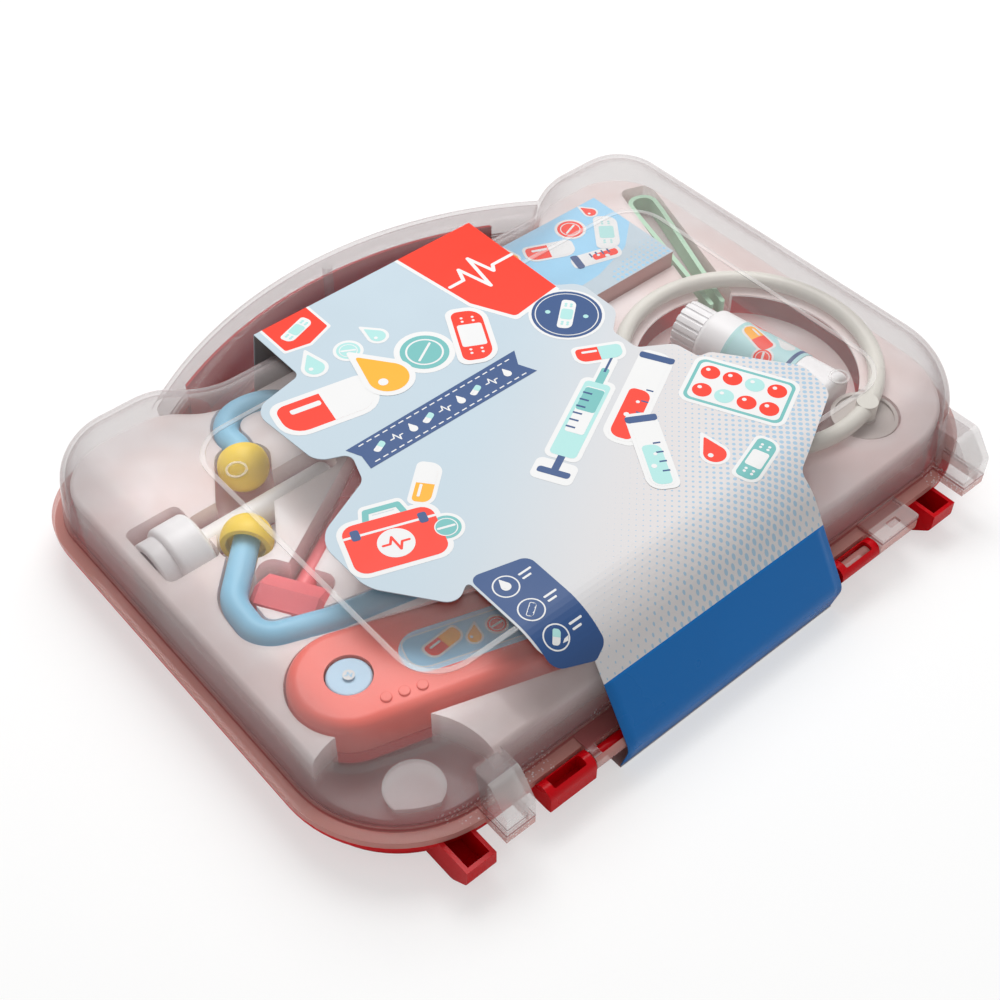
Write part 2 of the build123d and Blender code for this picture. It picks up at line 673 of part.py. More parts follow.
def tray_pockets(grow):
    """Outline and floor of every pocket; the underside's pockets are grown by the sheet."""
    room = toy_clearance + grow
    pockets = []

    def pocket(outline, floor, *args):
        pockets.append(outline(*args, floor - grow))

    def long_block(place, angle, start, end, width, floor, radius):
        heading = Vector(cos(radians(angle)), sin(radians(angle)))
        middle = Vector(*place) + heading * ((start + end) / 2)
        size = (end - start + 2 * room, width + 2 * room)
        pockets.append(block((middle.X, middle.Y), angle, *size, floor - grow, radius + grow))

    # Thermometer: its head, its body and its probe.
    floor = thermometer_bottom_z - toy_seat
    pocket(disc, floor, thermometer_place, thermometer_radius + room)
    body_end = thermometer_length + thermometer_far_radius
    long_block(thermometer_place, thermometer_angle, 0, body_end, 2 * thermometer_radius, floor, 6)
    probe_end = body_end + probe_length
    long_block(thermometer_place, thermometer_angle, body_end - 6, probe_end, probe_diameter, floor, 3)
    # Step in the near corner, round a low boss.
    with BuildSketch(Plane.XY.offset(corner_step_z - grow)) as step:
        with Locations(corner_step_place):
            Circle(corner_step_radius + grow)
        with Locations(corner_boss_place):
            Circle(corner_boss_radius - grow, mode=Mode.SUBTRACT)
    pockets.append(step.sketch)
    pocket(disc, corner_boss_z, corner_boss_place, corner_boss_radius + 1)
    # Stethoscope.
    tips_length = tips_apart.length + 2 * ear_tip_radius
    long_block(
        (tips_middle.X, tips_middle.Y), tips_angle, -tips_length / 2, tips_length / 2,
        2 * ear_tip_radius, arm_z - ear_tip_radius - toy_seat, 8,
    )
    pocket(channel, arm_floor_z, upper_arm_route, upper_arm_radii, arm_diameter + 2 * room)
    pocket(channel, arm_floor_z, lower_arm_route, lower_arm_radii, arm_diameter + 2 * room)
    long_block(
        yoke_place, yoke_angle, -yoke_size[0] / 2, yoke_size[0] / 2 + 16, yoke_size[1],
        arm_z - yoke_size[2] / 2 - toy_seat, 4,
    )
    pocket(disc, arm_z - chest_piece_height / 2 - diaphragm_thickness - toy_seat,
           chest_piece_place, chest_piece_radius + room)
    # Torch.
    torch_place = (torch_front_x, torch_y)
    long_block(
        torch_place, 0, 0, torch_barrel_x - torch_front_x, 2 * torch_head_radius,
        torch_z - torch_head_radius - toy_seat, 3,
    )
    long_block(
        torch_place, 0, torch_barrel_x - torch_front_x, torch_end_x - torch_front_x,
        2 * torch_barrel_radius, torch_z - torch_barrel_radius - toy_seat, 3,
    )
    # Hammer.
    long_block(
        hammer_place[:2], hammer_head_angle, -hammer_head_length / 2, hammer_head_length / 2,
        2 * hammer_head_radius, hammer_floor_z, 5,
    )
    long_block(
        hammer_place[:2], hammer_handle_angle, 0, hammer_handle_length, 2 * hammer_grip_radius,
        handle_floor_z, 3,
    )
    # Headband, its mirror and the bottle.
    inside_radius = headband_radius - headband_tube + toy_clearance
    pocket(disc, tweezers_bottom_z - toy_seat, headband_place, inside_radius)
    pocket(disc, mirror_z - rivet_head_height - toy_seat, mirror_place, mirror_radius + room)
    long_block(
        bottle_place[:2], bottle_angle, 0, bottle_length, 2 * bottle_radius,
        bottle_place[2] - bottle_radius - label_sheet - toy_seat, 4,
    )
    # Carton and tweezers.
    pockets.append(
        block(
            carton_middle, 0, carton_size[0] + 2 * room, carton_size[1] + 2 * room,
            carton_bottom_z - toy_seat - grow, 2 + grow,
        )
    )
    long_block(
        tweezers_heel, tweezers_angle, -4, tweezers_length, tweezers_spread + 2 * tweezers_arm,
        tweezers_bottom_z - toy_seat, 4,
    )
    return pockets


with BuildPart() as tray_underside:
    extrude(case_outline(tray_inset + tray_sheet, 0), amount=tray_top_z - tray_sheet)
    fillet(tray_underside.faces().sort_by(Axis.Z)[-1].edges(), tray_edge_radius - tray_sheet)
    for outline in tray_pockets(tray_sheet):
        extrude(outline, amount=tray_top_z, mode=Mode.SUBTRACT)

with BuildPart() as insert_tray:
    extrude(case_outline(tray_inset, tray_bottom_z), amount=tray_top_z - tray_bottom_z)
    fillet(insert_tray.faces().sort_by(Axis.Z)[-1].edges(), tray_edge_radius)
    for outline in tray_pockets(0):
        extrude(outline, amount=tray_top_z, mode=Mode.SUBTRACT)
    add(tray_underside.part, mode=Mode.SUBTRACT)

insert_tray.part.label = "insert_tray"
export_step(insert_tray.part, "parts/insert_tray.step")

# ---------------------------------------------------------------- toy thermometer
def thermometer_outline(inset, height):
    """Body in plan: a round head that tapers to a smaller round end."""
    with BuildSketch(Plane.XY.offset(height)) as outline:
        with Locations(Location((*thermometer_place, 0), (0, 0, thermometer_angle))):
            Circle(thermometer_radius - inset)
            with Locations((thermometer_length, 0)):
                Circle(thermometer_far_radius - inset)
        make_hull()
    return outline.sketch


label_floor_z = thermometer_top_z - label_thickness
label_end = label_start + label_length
label_outline = bar(
    thermometer_place, thermometer_angle, label_start, label_end, label_width, label_floor_z
)
button_bottom_z = thermometer_top_z - button_set_back - button_thickness
button_well_radius = button_diameter / 2 + button_clearance
button_well_z = button_bottom_z - button_travel - button_clearance

with BuildPart() as thermometer_lower_shell:
    groove_z = thermometer_split_z - split_groove
    extrude(thermometer_outline(0, thermometer_bottom_z), amount=groove_z - thermometer_bottom_z)
    fillet(thermometer_lower_shell.faces().sort_by(Axis.Z)[0].edges(), thermometer_edge_radius)
    extrude(thermometer_outline(split_groove, groove_z), amount=split_groove)
    hollow = thermometer_outline(thermometer_wall, thermometer_bottom_z + thermometer_wall)
    extrude(hollow, amount=thermometer_split_z, mode=Mode.SUBTRACT)

with BuildPart() as thermometer_upper_shell:
    extrude(thermometer_outline(0, thermometer_split_z), amount=thermometer_top_z - thermometer_split_z)
    fillet(thermometer_upper_shell.faces().sort_by(Axis.Z)[-1].edges(), thermometer_edge_radius)
    roof_z = thermometer_top_z - thermometer_wall
    hollow = thermometer_outline(thermometer_wall, thermometer_split_z)
    extrude(hollow, amount=roof_z - thermometer_split_z, mode=Mode.SUBTRACT)
    well_floor_z = button_well_z - thermometer_wall
    extrude(
        disc(thermometer_place, button_well_radius + thermometer_wall, well_floor_z),
        amount=roof_z - well_floor_z,
    )
    well = disc(thermometer_place, button_well_radius, button_well_z)
    extrude(well, amount=lid_top_z, mode=Mode.SUBTRACT)
    extrude(label_outline, amount=lid_top_z, mode=Mode.SUBTRACT)
    with BuildSketch(Plane.XY.offset(thermometer_top_z)):
        with Locations(Location((*thermometer_place, 0), (0, 0, thermometer_angle))):
            with Locations(*stud_places):
                Circle(stud_radius)
    extrude(amount=stud_height)
    fillet(thermometer_upper_shell.faces().sort_by(Axis.Z)[-3:].edges(), stud_height / 2)

with BuildPart() as thermometer_button:
    extrude(disc(thermometer_place, button_diameter / 2, button_bottom_z), amount=button_thickness)
    fillet(thermometer_button.faces().sort_by(Axis.Z)[-1].edges(), button_thickness / 2.5)

with BuildPart() as thermometer_label:
    extrude(label_outline, amount=label_thickness)

with BuildPart() as thermometer_probe:
    probe_start = Vector(*thermometer_place) + thermometer_heading * (
        thermometer_length + thermometer_far_radius - probe_grip
    )
    probe_origin = (probe_start.X, probe_start.Y, thermometer_split_z)
    probe_plane = Plane(origin=probe_origin, z_dir=thermometer_heading)
    with BuildSketch(probe_plane):
        Circle(probe_diameter / 2)
    extrude(amount=probe_grip + probe_length)
    far_end = thermometer_probe.faces().sort_by(Axis(probe_plane.origin, thermometer_heading))[-1]
    fillet(far_end.edges(), probe_diameter / 2.5)
    add(thermometer_lower_shell.part, mode=Mode.SUBTRACT)
    add(thermometer_upper_shell.part, mode=Mode.SUBTRACT)

thermometer_lower_shell.part.label = "thermometer_lower_shell"
export_step(thermometer_lower_shell.part, "parts/thermometer_lower_shell.step")
thermometer_upper_shell.part.label = "thermometer_upper_shell"
export_step(thermometer_upper_shell.part, "parts/thermometer_upper_shell.step")
thermometer_button.part.label = "thermometer_button"
export_step(thermometer_button.part, "parts/thermometer_button.step")
thermometer_label.part.label = "thermometer_label"
export_step(thermometer_label.part, "parts/thermometer_label.step")
thermometer_probe.part.label = "thermometer_probe"
export_step(thermometer_probe.part, "parts/thermometer_probe.step")

# ---------------------------------------------------------------- toy stethoscope
def arm(route, radii):
    """Moulded tube of the headset, bent in one plane."""
    first, second = Vector(*route[0], arm_z), Vector(*route[1], arm_z)
    with BuildPart() as tube:
        with BuildLine() as centre:
            FilletPolyline(*[(x, y, arm_z) for x, y in route], radius=radii)
        with BuildSketch(Plane(origin=first, z_dir=second - first)):
            Circle(arm_diameter / 2)
        sweep(path=centre.line)
    return tube.part


def ear_tip(place, heading):
    """Hollow ball whose mouth has a recess round the arm."""
    inner = ear_tip_radius - ear_tip_wall
    recess_top = ear_tip_recess - ear_tip_mouth
    with BuildPart() as tip:
        with BuildSketch(Plane.XZ):
            Circle(ear_tip_radius)
            with Locations((0, -ear_tip_mouth)):
                Rectangle(
                    2 * ear_tip_radius, ear_tip_radius, align=(Align.CENTER, Align.MAX), mode=Mode.SUBTRACT
                )
                Rectangle(
                    2 * (inner - ear_tip_wall / 2), ear_tip_recess,
                    align=(Align.CENTER, Align.MIN), mode=Mode.SUBTRACT,
                )
            with Locations((0, recess_top)):
                Rectangle(
                    arm_diameter, arm_insert - recess_top,
                    align=(Align.CENTER, Align.MIN), mode=Mode.SUBTRACT,
                )
            Rectangle(
                ear_tip_radius, 2 * ear_tip_radius, align=(Align.MAX, Align.CENTER), mode=Mode.SUBTRACT
            )
        revolve(axis=Axis.Z)
    return tip.part.moved(Plane(origin=(place.X, place.Y, arm_z), z_dir=heading).location)


with BuildPart() as stethoscope_upper_arm:
    add(arm(upper_arm_route, upper_arm_radii))

with BuildPart() as stethoscope_lower_arm:
    add(arm(lower_arm_route, lower_arm_radii))

with BuildPart() as stethoscope_ball_tip:
    add(ear_tip(ball_tip_place, ball_tip_heading))

with BuildPart() as stethoscope_cup_tip:
    add(ear_tip(cup_tip_place, cup_tip_heading))

with BuildPart() as chest_piece:
    chest_bottom_z = arm_z - chest_piece_height / 2
    extrude(disc(chest_piece_place, chest_piece_radius, chest_bottom_z), amount=chest_piece_height)
    fillet(chest_piece.faces().sort_by(Axis.Z)[-1].edges(), chest_piece_height / 2.5)
    stem_start = Vector(*yoke_place) + yoke_heading * (yoke_size[0] / 2 - chest_stem_grip)
    stem_length = (Vector(*chest_piece_place) - stem_start).length
    with BuildSketch(Plane(origin=(stem_start.X, stem_start.Y, arm_z), z_dir=yoke_heading)):
        Circle(chest_stem_diameter / 2)
    extrude(amount=stem_length)

with BuildPart() as chest_piece_diaphragm:
    diaphragm_radius = chest_piece_radius - diaphragm_inset
    extrude(disc(chest_piece_place, diaphragm_radius, chest_bottom_z), amount=-diaphragm_thickness)

with BuildPart() as stethoscope_yoke:
    yoke_length, yoke_width, yoke_height = yoke_size
    extrude(
        block(yoke_place, yoke_angle, yoke_length, yoke_width, arm_z - yoke_height / 2, yoke_corner_radius),
        amount=yoke_height,
    )
    fillet(stethoscope_yoke.faces().filter_by(Axis.Z).edges(), yoke_height / 5)
    for held in (stethoscope_upper_arm, stethoscope_lower_arm, chest_piece):
        add(held.part, mode=Mode.SUBTRACT)

stethoscope_upper_arm.part.label = "stethoscope_upper_arm"
export_step(stethoscope_upper_arm.part, "parts/stethoscope_upper_arm.step")
stethoscope_lower_arm.part.label = "stethoscope_lower_arm"
export_step(stethoscope_lower_arm.part, "parts/stethoscope_lower_arm.step")
stethoscope_ball_tip.part.label = "stethoscope_ball_tip"
export_step(stethoscope_ball_tip.part, "parts/stethoscope_ball_tip.step")
stethoscope_cup_tip.part.label = "stethoscope_cup_tip"
export_step(stethoscope_cup_tip.part, "parts/stethoscope_cup_tip.step")
stethoscope_yoke.part.label = "stethoscope_yoke"
export_step(stethoscope_yoke.part, "parts/stethoscope_yoke.step")
chest_piece.part.label = "chest_piece"
export_step(chest_piece.part, "parts/chest_piece.step")
chest_piece_diaphragm.part.label = "chest_piece_diaphragm"
export_step(chest_piece_diaphragm.part, "parts/chest_piece_diaphragm.step")

# ---------------------------------------------------------------- toy torch
def torch_section(start_x):
    """Plane across the torch, facing along it."""
    return Plane(origin=(start_x, torch_y, torch_z), z_dir=(1, 0, 0))


with BuildPart() as torch_body:
    with BuildSketch(torch_section(torch_head_x)):
        Circle(torch_head_radius)
    extrude(amount=torch_head_length)
    fillet(torch_body.edges().filter_by(GeomType.CIRCLE), torch_head_step)
    with BuildSketch(torch_section(torch_barrel_x - torch_head_step)):
        Circle(torch_barrel_radius)
    extrude(amount=torch_end_x - torch_barrel_x + torch_head_step)
    fillet(torch_body.faces().sort_by(Axis.X)[-1].edges(), torch_barrel_radius / 2)

with BuildPart() as torch_collar:
    with BuildSketch(torch_section(torch_front_x)):
        Circle(torch_collar_radius)
    extrude(amount=torch_collar_length)
    fillet(torch_collar.faces().sort_by(Axis.X)[0].edges(), torch_head_step / 2)
    with BuildSketch(torch_section(torch_front_x)):
        Circle(torch_lens_radius)
    extrude(amount=torch_lens_set_back + torch_lens_thickness, mode=Mode.SUBTRACT)

with BuildPart() as torch_lens:
    with BuildSketch(torch_section(torch_front_x + torch_lens_set_back)):
        Circle(torch_lens_radius)
    extrude(amount=torch_lens_thickness)

torch_body.part.label = "torch_body"
export_step(torch_body.part, "parts/torch_body.step")
torch_collar.part.label = "torch_collar"
export_step(torch_collar.part, "parts/torch_collar.step")
torch_lens.part.label = "torch_lens"
export_step(torch_lens.part, "parts/torch_lens.step")

# ---------------------------------------------------------------- toy hammer
hammer_heading = Vector(cos(radians(hammer_head_angle)), sin(radians(hammer_head_angle)))
handle_heading = Vector(cos(radians(hammer_handle_angle)), sin(radians(hammer_handle_angle)))

with BuildPart() as hammer_head:
    head_end = Vector(*hammer_place) - hammer_heading * (hammer_head_length / 2)
    with BuildSketch(Plane(origin=head_end, z_dir=hammer_heading)):
        RegularPolygon(hammer_head_radius, 8)
    extrude(amount=hammer_head_length)
    ends = hammer_head.faces().sort_by(Axis(Vector(*hammer_place), hammer_heading))
    chamfer((ends[0] + ends[-1]).edges(), hammer_head_chamfer)

with BuildPart() as hammer_handle:
    with BuildSketch(Plane(origin=hammer_place, z_dir=handle_heading)):
        Circle(hammer_handle_radius)
    extrude(amount=hammer_handle_length - hammer_grip_length)
    grip_start = Vector(*hammer_place) + handle_heading * (hammer_handle_length - hammer_grip_length)
    with BuildSketch(Plane(origin=grip_start, z_dir=handle_heading)):
        Circle(hammer_grip_radius)
    extrude(amount=hammer_grip_length)
    grip_ends = hammer_handle.faces().sort_by(Axis(Vector(*hammer_place), handle_heading))
    fillet(grip_ends[-1].edges(), hammer_grip_radius / 2)
    add(hammer_head.part, mode=Mode.SUBTRACT)

hammer_head.part.label = "hammer_head"
export_step(hammer_head.part, "parts/hammer_head.step")
hammer_handle.part.label = "hammer_handle"
export_step(hammer_handle.part, "parts/hammer_handle.step")

# ---------------------------------------------------------------- toy bottle
def bottle_section(start):
    """Plane across the bottle, a distance down from the face of its cap."""
    origin = Vector(*bottle_place) + bottle_heading * start
    return Plane(origin=origin, z_dir=bottle_heading)


bottle_start = cap_length + cap_gap

with BuildPart() as bottle_body:
    with BuildSketch(bottle_section(bottle_start)):
        Circle(bottle_radius)
    extrude(amount=bottle_length - bottle_start)
    fillet(bottle_body.edges().filter_by(GeomType.CIRCLE), bottle_edge_radius)
    with BuildSketch(bottle_section(cap_roof + cap_gap)):
        Circle(neck_radius)
    extrude(amount=bottle_start)
    with BuildSketch(bottle_section(bottle_start + bottle_wall)):
        Circle(bottle_radius - bottle_wall)
    extrude(amount=bottle_length - bottle_start - 2 * bottle_wall, mode=Mode.SUBTRACT)
    with BuildSketch(bottle_section(0)):
        Circle(neck_radius - bottle_wall)
    extrude(amount=bottle_start + 2 * bottle_wall, mode=Mode.SUBTRACT)

with BuildPart() as bottle_label:
    with BuildSketch(bottle_section(label_band[0])):
        Circle(bottle_radius + label_sheet)
        Circle(bottle_radius, mode=Mode.SUBTRACT)
    extrude(amount=label_band[1] - label_band[0])

with BuildPart() as bottle_cap:
    with BuildSketch(bottle_section(0)):
        Circle(cap_radius)
        with PolarLocations(cap_radius, cap_flutes):
            Circle(cap_flute_radius, mode=Mode.SUBTRACT)
    extrude(amount=cap_length)
    with BuildSketch(bottle_section(cap_roof)):
        Circle(neck_radius + neck_clearance)
    extrude(amount=cap_length, mode=Mode.SUBTRACT)

bottle_body.part.label = "bottle_body"
export_step(bottle_body.part, "parts/bottle_body.step")
bottle_label.part.label = "bottle_label"
export_step(bottle_label.part, "parts/bottle_label.step")
bottle_cap.part.label = "bottle_cap"
export_step(bottle_cap.part, "parts/bottle_cap.step")

# ---------------------------------------------------------------- headband and its mirror
mirror_top_z = mirror_z + mirror_thickness
headband_top_z = headband_z + headband_tube / 2
rivet_head_z = mirror_z - mirror_gap - rivet_head_height

with BuildPart() as mirror_rivet:
    extrude(disc(mirror_place, rivet_head_diameter / 2, rivet_head_z), amount=rivet_head_height)
    fillet(mirror_rivet.faces().sort_by(Axis.Z)[0].edges(), rivet_head_height / 2)
    extrude(disc(mirror_place, rivet_diameter / 2, rivet_head_z), amount=headband_z - rivet_head_z)

with BuildPart() as headband:
    with BuildSketch(Plane.XZ):
        with Locations((headband_radius, 0)):
            Circle(headband_tube / 2)
    revolve(axis=Axis.Z, revolution_arc=360 - headband_opening)
    fillet(headband.faces().filter_by(GeomType.PLANE).edges(), headband_end_radius)
    band = headband.part.moved(Location((*headband_place, headband_z), (0, 0, 180 + headband_opening / 2)))
    add(band, mode=Mode.REPLACE)
    boss_z = mirror_top_z + mirror_gap
    extrude(disc(mirror_place, rivet_boss_diameter / 2, boss_z), amount=headband_top_z - boss_z)
    add(mirror_rivet.part, mode=Mode.SUBTRACT)

with BuildPart() as head_mirror:
    extrude(disc(mirror_place, mirror_radius, mirror_z), amount=mirror_thickness)
    fillet(head_mirror.faces().sort_by(Axis.Z)[0].edges(), mirror_thickness / 2)
    with BuildSketch(Plane.XY.offset(mirror_top_z)):
        with Locations(mirror_place):
            Circle(mirror_radius - mirror_rim)
            Circle(mirror_hub_radius, mode=Mode.SUBTRACT)
    extrude(amount=-mirror_dish_depth, mode=Mode.SUBTRACT)
    bore = disc(mirror_place, rivet_diameter / 2 + rivet_clearance, mirror_z)
    extrude(bore, amount=mirror_thickness, mode=Mode.SUBTRACT)

headband.part.label = "headband"
export_step(headband.part, "parts/headband.step")
head_mirror.part.label = "head_mirror"
export_step(head_mirror.part, "parts/head_mirror.step")
mirror_rivet.part.label = "mirror_rivet"
export_step(mirror_rivet.part, "parts/mirror_rivet.step")

# ---------------------------------------------------------------- carton and tweezers
with BuildPart() as card_carton:
    extrude(
        block(carton_middle, 0, *carton_size, carton_bottom_z, carton_panel),
        amount=carton_top_z - carton_bottom_z,
    )
    inside = [size - 2 * carton_panel for size in carton_size]
    extrude(
        block(carton_middle, 0, *inside, carton_bottom_z + carton_panel),
        amount=carton_top_z - carton_bottom_z - 2 * carton_panel,
        mode=Mode.SUBTRACT,
    )

with BuildPart() as tweezers:
    heel = tweezers_spread / 2 + tweezers_arm / 2
    tip = tweezers_tip_spread / 2 + tweezers_arm / 2
    with BuildSketch(Plane.XY.offset(tweezers_bottom_z)):
        with BuildLine():
            FilletPolyline(
                (tweezers_length, tip), (tweezers_heel_length, heel), (0, heel),
                (0, -heel), (tweezers_heel_length, -heel), (tweezers_length, -tip),
                radius=[tweezers_length, heel * 0.9, heel * 0.9, tweezers_length],
            )
            offset(amount=tweezers_arm / 2, side=Side.BOTH, mode=Mode.REPLACE)
        make_face()
    extrude(amount=tweezers_height)
    laid = tweezers.part.moved(Location((*tweezers_heel, 0), (0, 0, tweezers_angle)))
    add(laid, mode=Mode.REPLACE)

card_carton.part.label = "card_carton"
export_step(card_carton.part, "parts/card_carton.step")
tweezers.part.label = "tweezers"
export_step(tweezers.part, "parts/tweezers.step")
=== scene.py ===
"""Toy doctor case: finishes, printed card sleeve, labels and stage."""
import math

import bmesh
import bpy
from mathutils import Matrix, Vector


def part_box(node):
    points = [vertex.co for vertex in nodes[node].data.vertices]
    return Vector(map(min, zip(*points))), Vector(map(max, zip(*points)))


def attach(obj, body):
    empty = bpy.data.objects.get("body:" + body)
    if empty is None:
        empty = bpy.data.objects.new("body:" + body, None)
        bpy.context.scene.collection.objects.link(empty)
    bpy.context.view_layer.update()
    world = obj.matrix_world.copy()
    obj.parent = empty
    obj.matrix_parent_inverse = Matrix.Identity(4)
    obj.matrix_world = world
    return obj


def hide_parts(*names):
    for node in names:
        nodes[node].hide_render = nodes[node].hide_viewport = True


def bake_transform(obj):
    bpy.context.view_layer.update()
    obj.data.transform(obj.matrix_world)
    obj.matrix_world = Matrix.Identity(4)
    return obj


bl_info = {
    "name": "Toy doctor case",
    "version": (1, 0, 0),
    "blender": (4, 5, 0),
    "location": "3D Viewport > Sidebar > Toy case",
    "description": "Dresses the toy doctor case with plastics and printed card",
    "category": "Object",
}

MM = 0.001
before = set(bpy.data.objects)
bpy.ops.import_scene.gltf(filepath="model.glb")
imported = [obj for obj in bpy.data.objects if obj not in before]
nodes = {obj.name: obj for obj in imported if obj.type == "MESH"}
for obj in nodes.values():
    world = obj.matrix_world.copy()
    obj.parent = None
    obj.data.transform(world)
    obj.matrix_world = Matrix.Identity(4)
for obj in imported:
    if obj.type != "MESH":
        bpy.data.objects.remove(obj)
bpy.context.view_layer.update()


# ---------------- settings
def colour(name, description, default):
    return bpy.props.FloatVectorProperty(
        name=name, description=description, subtype="COLOR", size=3, min=0.0, max=1.0, default=default
    )


def length(name, description, default):
    return bpy.props.FloatProperty(
        name=name, description=description, subtype="DISTANCE", unit="LENGTH", default=default
    )


class PlasticSettings(bpy.types.PropertyGroup):
    """Colours of the moulded plastics."""

    red: colour("Shell red", "Red of the base shell", (0.58, 0.0, 0.005))
    clear: colour("Clear tint", "Warm grey of the clear lid", (0.64, 0.59, 0.58))
    # Painted dark reflection: the slate grey that the lid turns to at a glance.
    clear_glance_shade: colour("Clear glance shade", "Slate grey that the clear lid turns to at a glance", (0.13, 0.12, 0.15))
    tray: colour("Tray tint", "Warm white of the tray film", (0.98, 0.84, 0.82))
    tray_edge: colour("Tray edge", "Mauve grey of the film at a glance", (0.70, 0.60, 0.61))
    salmon: colour("Thermometer top", "Salmon red of the upper shell", (0.97, 0.17, 0.13))
    thermometer_red: colour("Thermometer base", "Red of the lower shell", (0.86, 0.06, 0.055))
    pale_blue: colour("Pale blue", "Button and label", (0.48, 0.70, 0.88))
    arm_blue: colour("Arm blue", "Arms of the stethoscope", (0.30, 0.63, 0.85))
    yellow: colour("Ear tip yellow", "Ear tips", (1.0, 0.70, 0.06))
    white: colour("Toy white", "Torch and bottle", (0.90, 0.89, 0.90))
    lens: colour("Lens grey", "End disc of the torch", (0.06, 0.065, 0.11))
    hammer: colour("Hammer red", "Head and handle of the hammer", (0.88, 0.17, 0.19))
    band: colour("Band white", "Headband", (0.72, 0.70, 0.64))
    mirror: colour("Mirror grey", "Head mirror", (0.52, 0.47, 0.44))
    green: colour("Tweezers green", "Tweezers", (0.44, 0.68, 0.50))
    bottle_teal: colour("Bottle teal", "Label of the bottle", (0.42, 0.68, 0.70))
    # Painted shade: the carton's sides are a dark reddish brown for the shade and the red light from the base
    # on them.
    carton: colour("Carton card in painted shade", "Sides of the carton", (0.55, 0.30, 0.28))


class PrintSettings(bpy.types.PropertyGroup):
    """Card and inks of the sleeve."""

    card_thickness: length("Card thickness", "Thickness of the printed card", 0.35 * MM)
    ink_step: length("Ink step", "Height of one layer of ink over the last", 0.02 * MM)
    card_blue: colour("Card blue", "Pale blue ground of the card", (0.48, 0.58, 0.65))
    card_white: colour("Card white", "Off-white ground of the card", (0.66, 0.63, 0.63))
    card_inside: colour("Card inside", "Grey inside of the card", (0.30, 0.29, 0.29))
    dot_blue: colour("Dot blue", "Halftone dots", (0.36, 0.51, 0.64))
    band_blue: colour("Band blue", "Near side of the sleeve", (0.0, 0.14, 0.45))
    red: colour("Ink red", "Red-orange ink", (0.87, 0.035, 0.012))
    navy: colour("Ink navy", "Navy ink", (0.028, 0.075, 0.21))
    teal: colour("Ink teal", "Teal ink", (0.16, 0.46, 0.45))
    mint: colour("Ink mint", "Light teal ink", (0.40, 0.69, 0.67))
    amber: colour("Ink amber", "Amber ink", (0.95, 0.41, 0.02))
    white: colour("Ink white", "White of outlines and fills", (0.76, 0.76, 0.76))
    sky: colour("Ink sky", "Light blue of the carton", (0.31, 0.60, 0.82))


class StageSettings(bpy.types.PropertyGroup):
    """Camera and lamps."""

    lens: bpy.props.FloatProperty(name="Lens", description="Focal length of the camera", default=55.3)
    key_power: bpy.props.FloatProperty(
        name="Key power", description="Power of the soft box over the case", unit="POWER", default=7.8
    )
    fill: bpy.props.FloatProperty(name="Fill", description="Strength of the even light", default=0.45)


# ---------------- materials
def new_material(name):
    material = bpy.data.materials.new(name)
    material.use_nodes = True
    tree = material.node_tree
    return material, tree, tree.nodes["Principled BSDF"]


def new_node(tree, kind):
    return tree.nodes.new(f"ShaderNode{kind}")


def link(tree, source, target):
    tree.links.new(source, target)


def preset(node, values):
    """Sets the inputs of a node that nothing is linked to."""
    for name, value in values.items():
        node.inputs[name].default_value = value


def calc(tree, operation, first, second=None, third=None):
    node = new_node(tree, "Math")
    node.operation = operation
    for socket, value in zip(node.inputs, (first, second, third)):
        if value is None:
            continue
        if isinstance(value, (int, float)):
            socket.default_value = value
        else:
            link(tree, value, socket)
    return node.outputs[0]


def object_coordinates(tree):
    return new_node(tree, "TexCoord").outputs["Object"]


def axes(tree, place):
    """The X, Y and Z of a place."""
    split = new_node(tree, "SeparateXYZ")
    link(tree, place, split.inputs[0])
    return split.outputs


def noise_texture(tree, coordinates, scale, detail=2.0, roughness=0.5):
    node = new_node(tree, "TexNoise")
    preset(node, {"Scale": scale, "Detail": detail, "Roughness": roughness})
    link(tree, coordinates, node.inputs["Vector"])
    return node.outputs["Fac"]


def map_range(tree, value, low, high, to_low=0.0, to_high=1.0, smooth=False):
    node = new_node(tree, "MapRange")
    if smooth:
        node.interpolation_type = "SMOOTHSTEP"
    link(tree, value, node.inputs["Value"])
    preset(node, {"From Min": low, "From Max": high, "To Min": to_low, "To Max": to_high})
    return node.outputs["Result"]


def mix_colour(tree, factor, first, second):
    node = new_node(tree, "Mix")
    node.data_type = "RGBA"
    for index, value in ((0, factor), (6, first), (7, second)):
        if isinstance(value, bpy.types.NodeSocket):
            link(tree, value, node.inputs[index])
        elif index == 0:
            node.inputs[0].default_value = value
        else:
            node.inputs[index].default_value = (*value[:3], 1.0)
    return node.outputs[2]


def bump(tree, shader, height, strength, distance):
    node = new_node(tree, "Bump")
    preset(node, {"Strength": strength, "Distance": distance})
    link(tree, height, node.inputs["Height"])
    link(tree, node.outputs["Normal"], shader.inputs["Normal"])


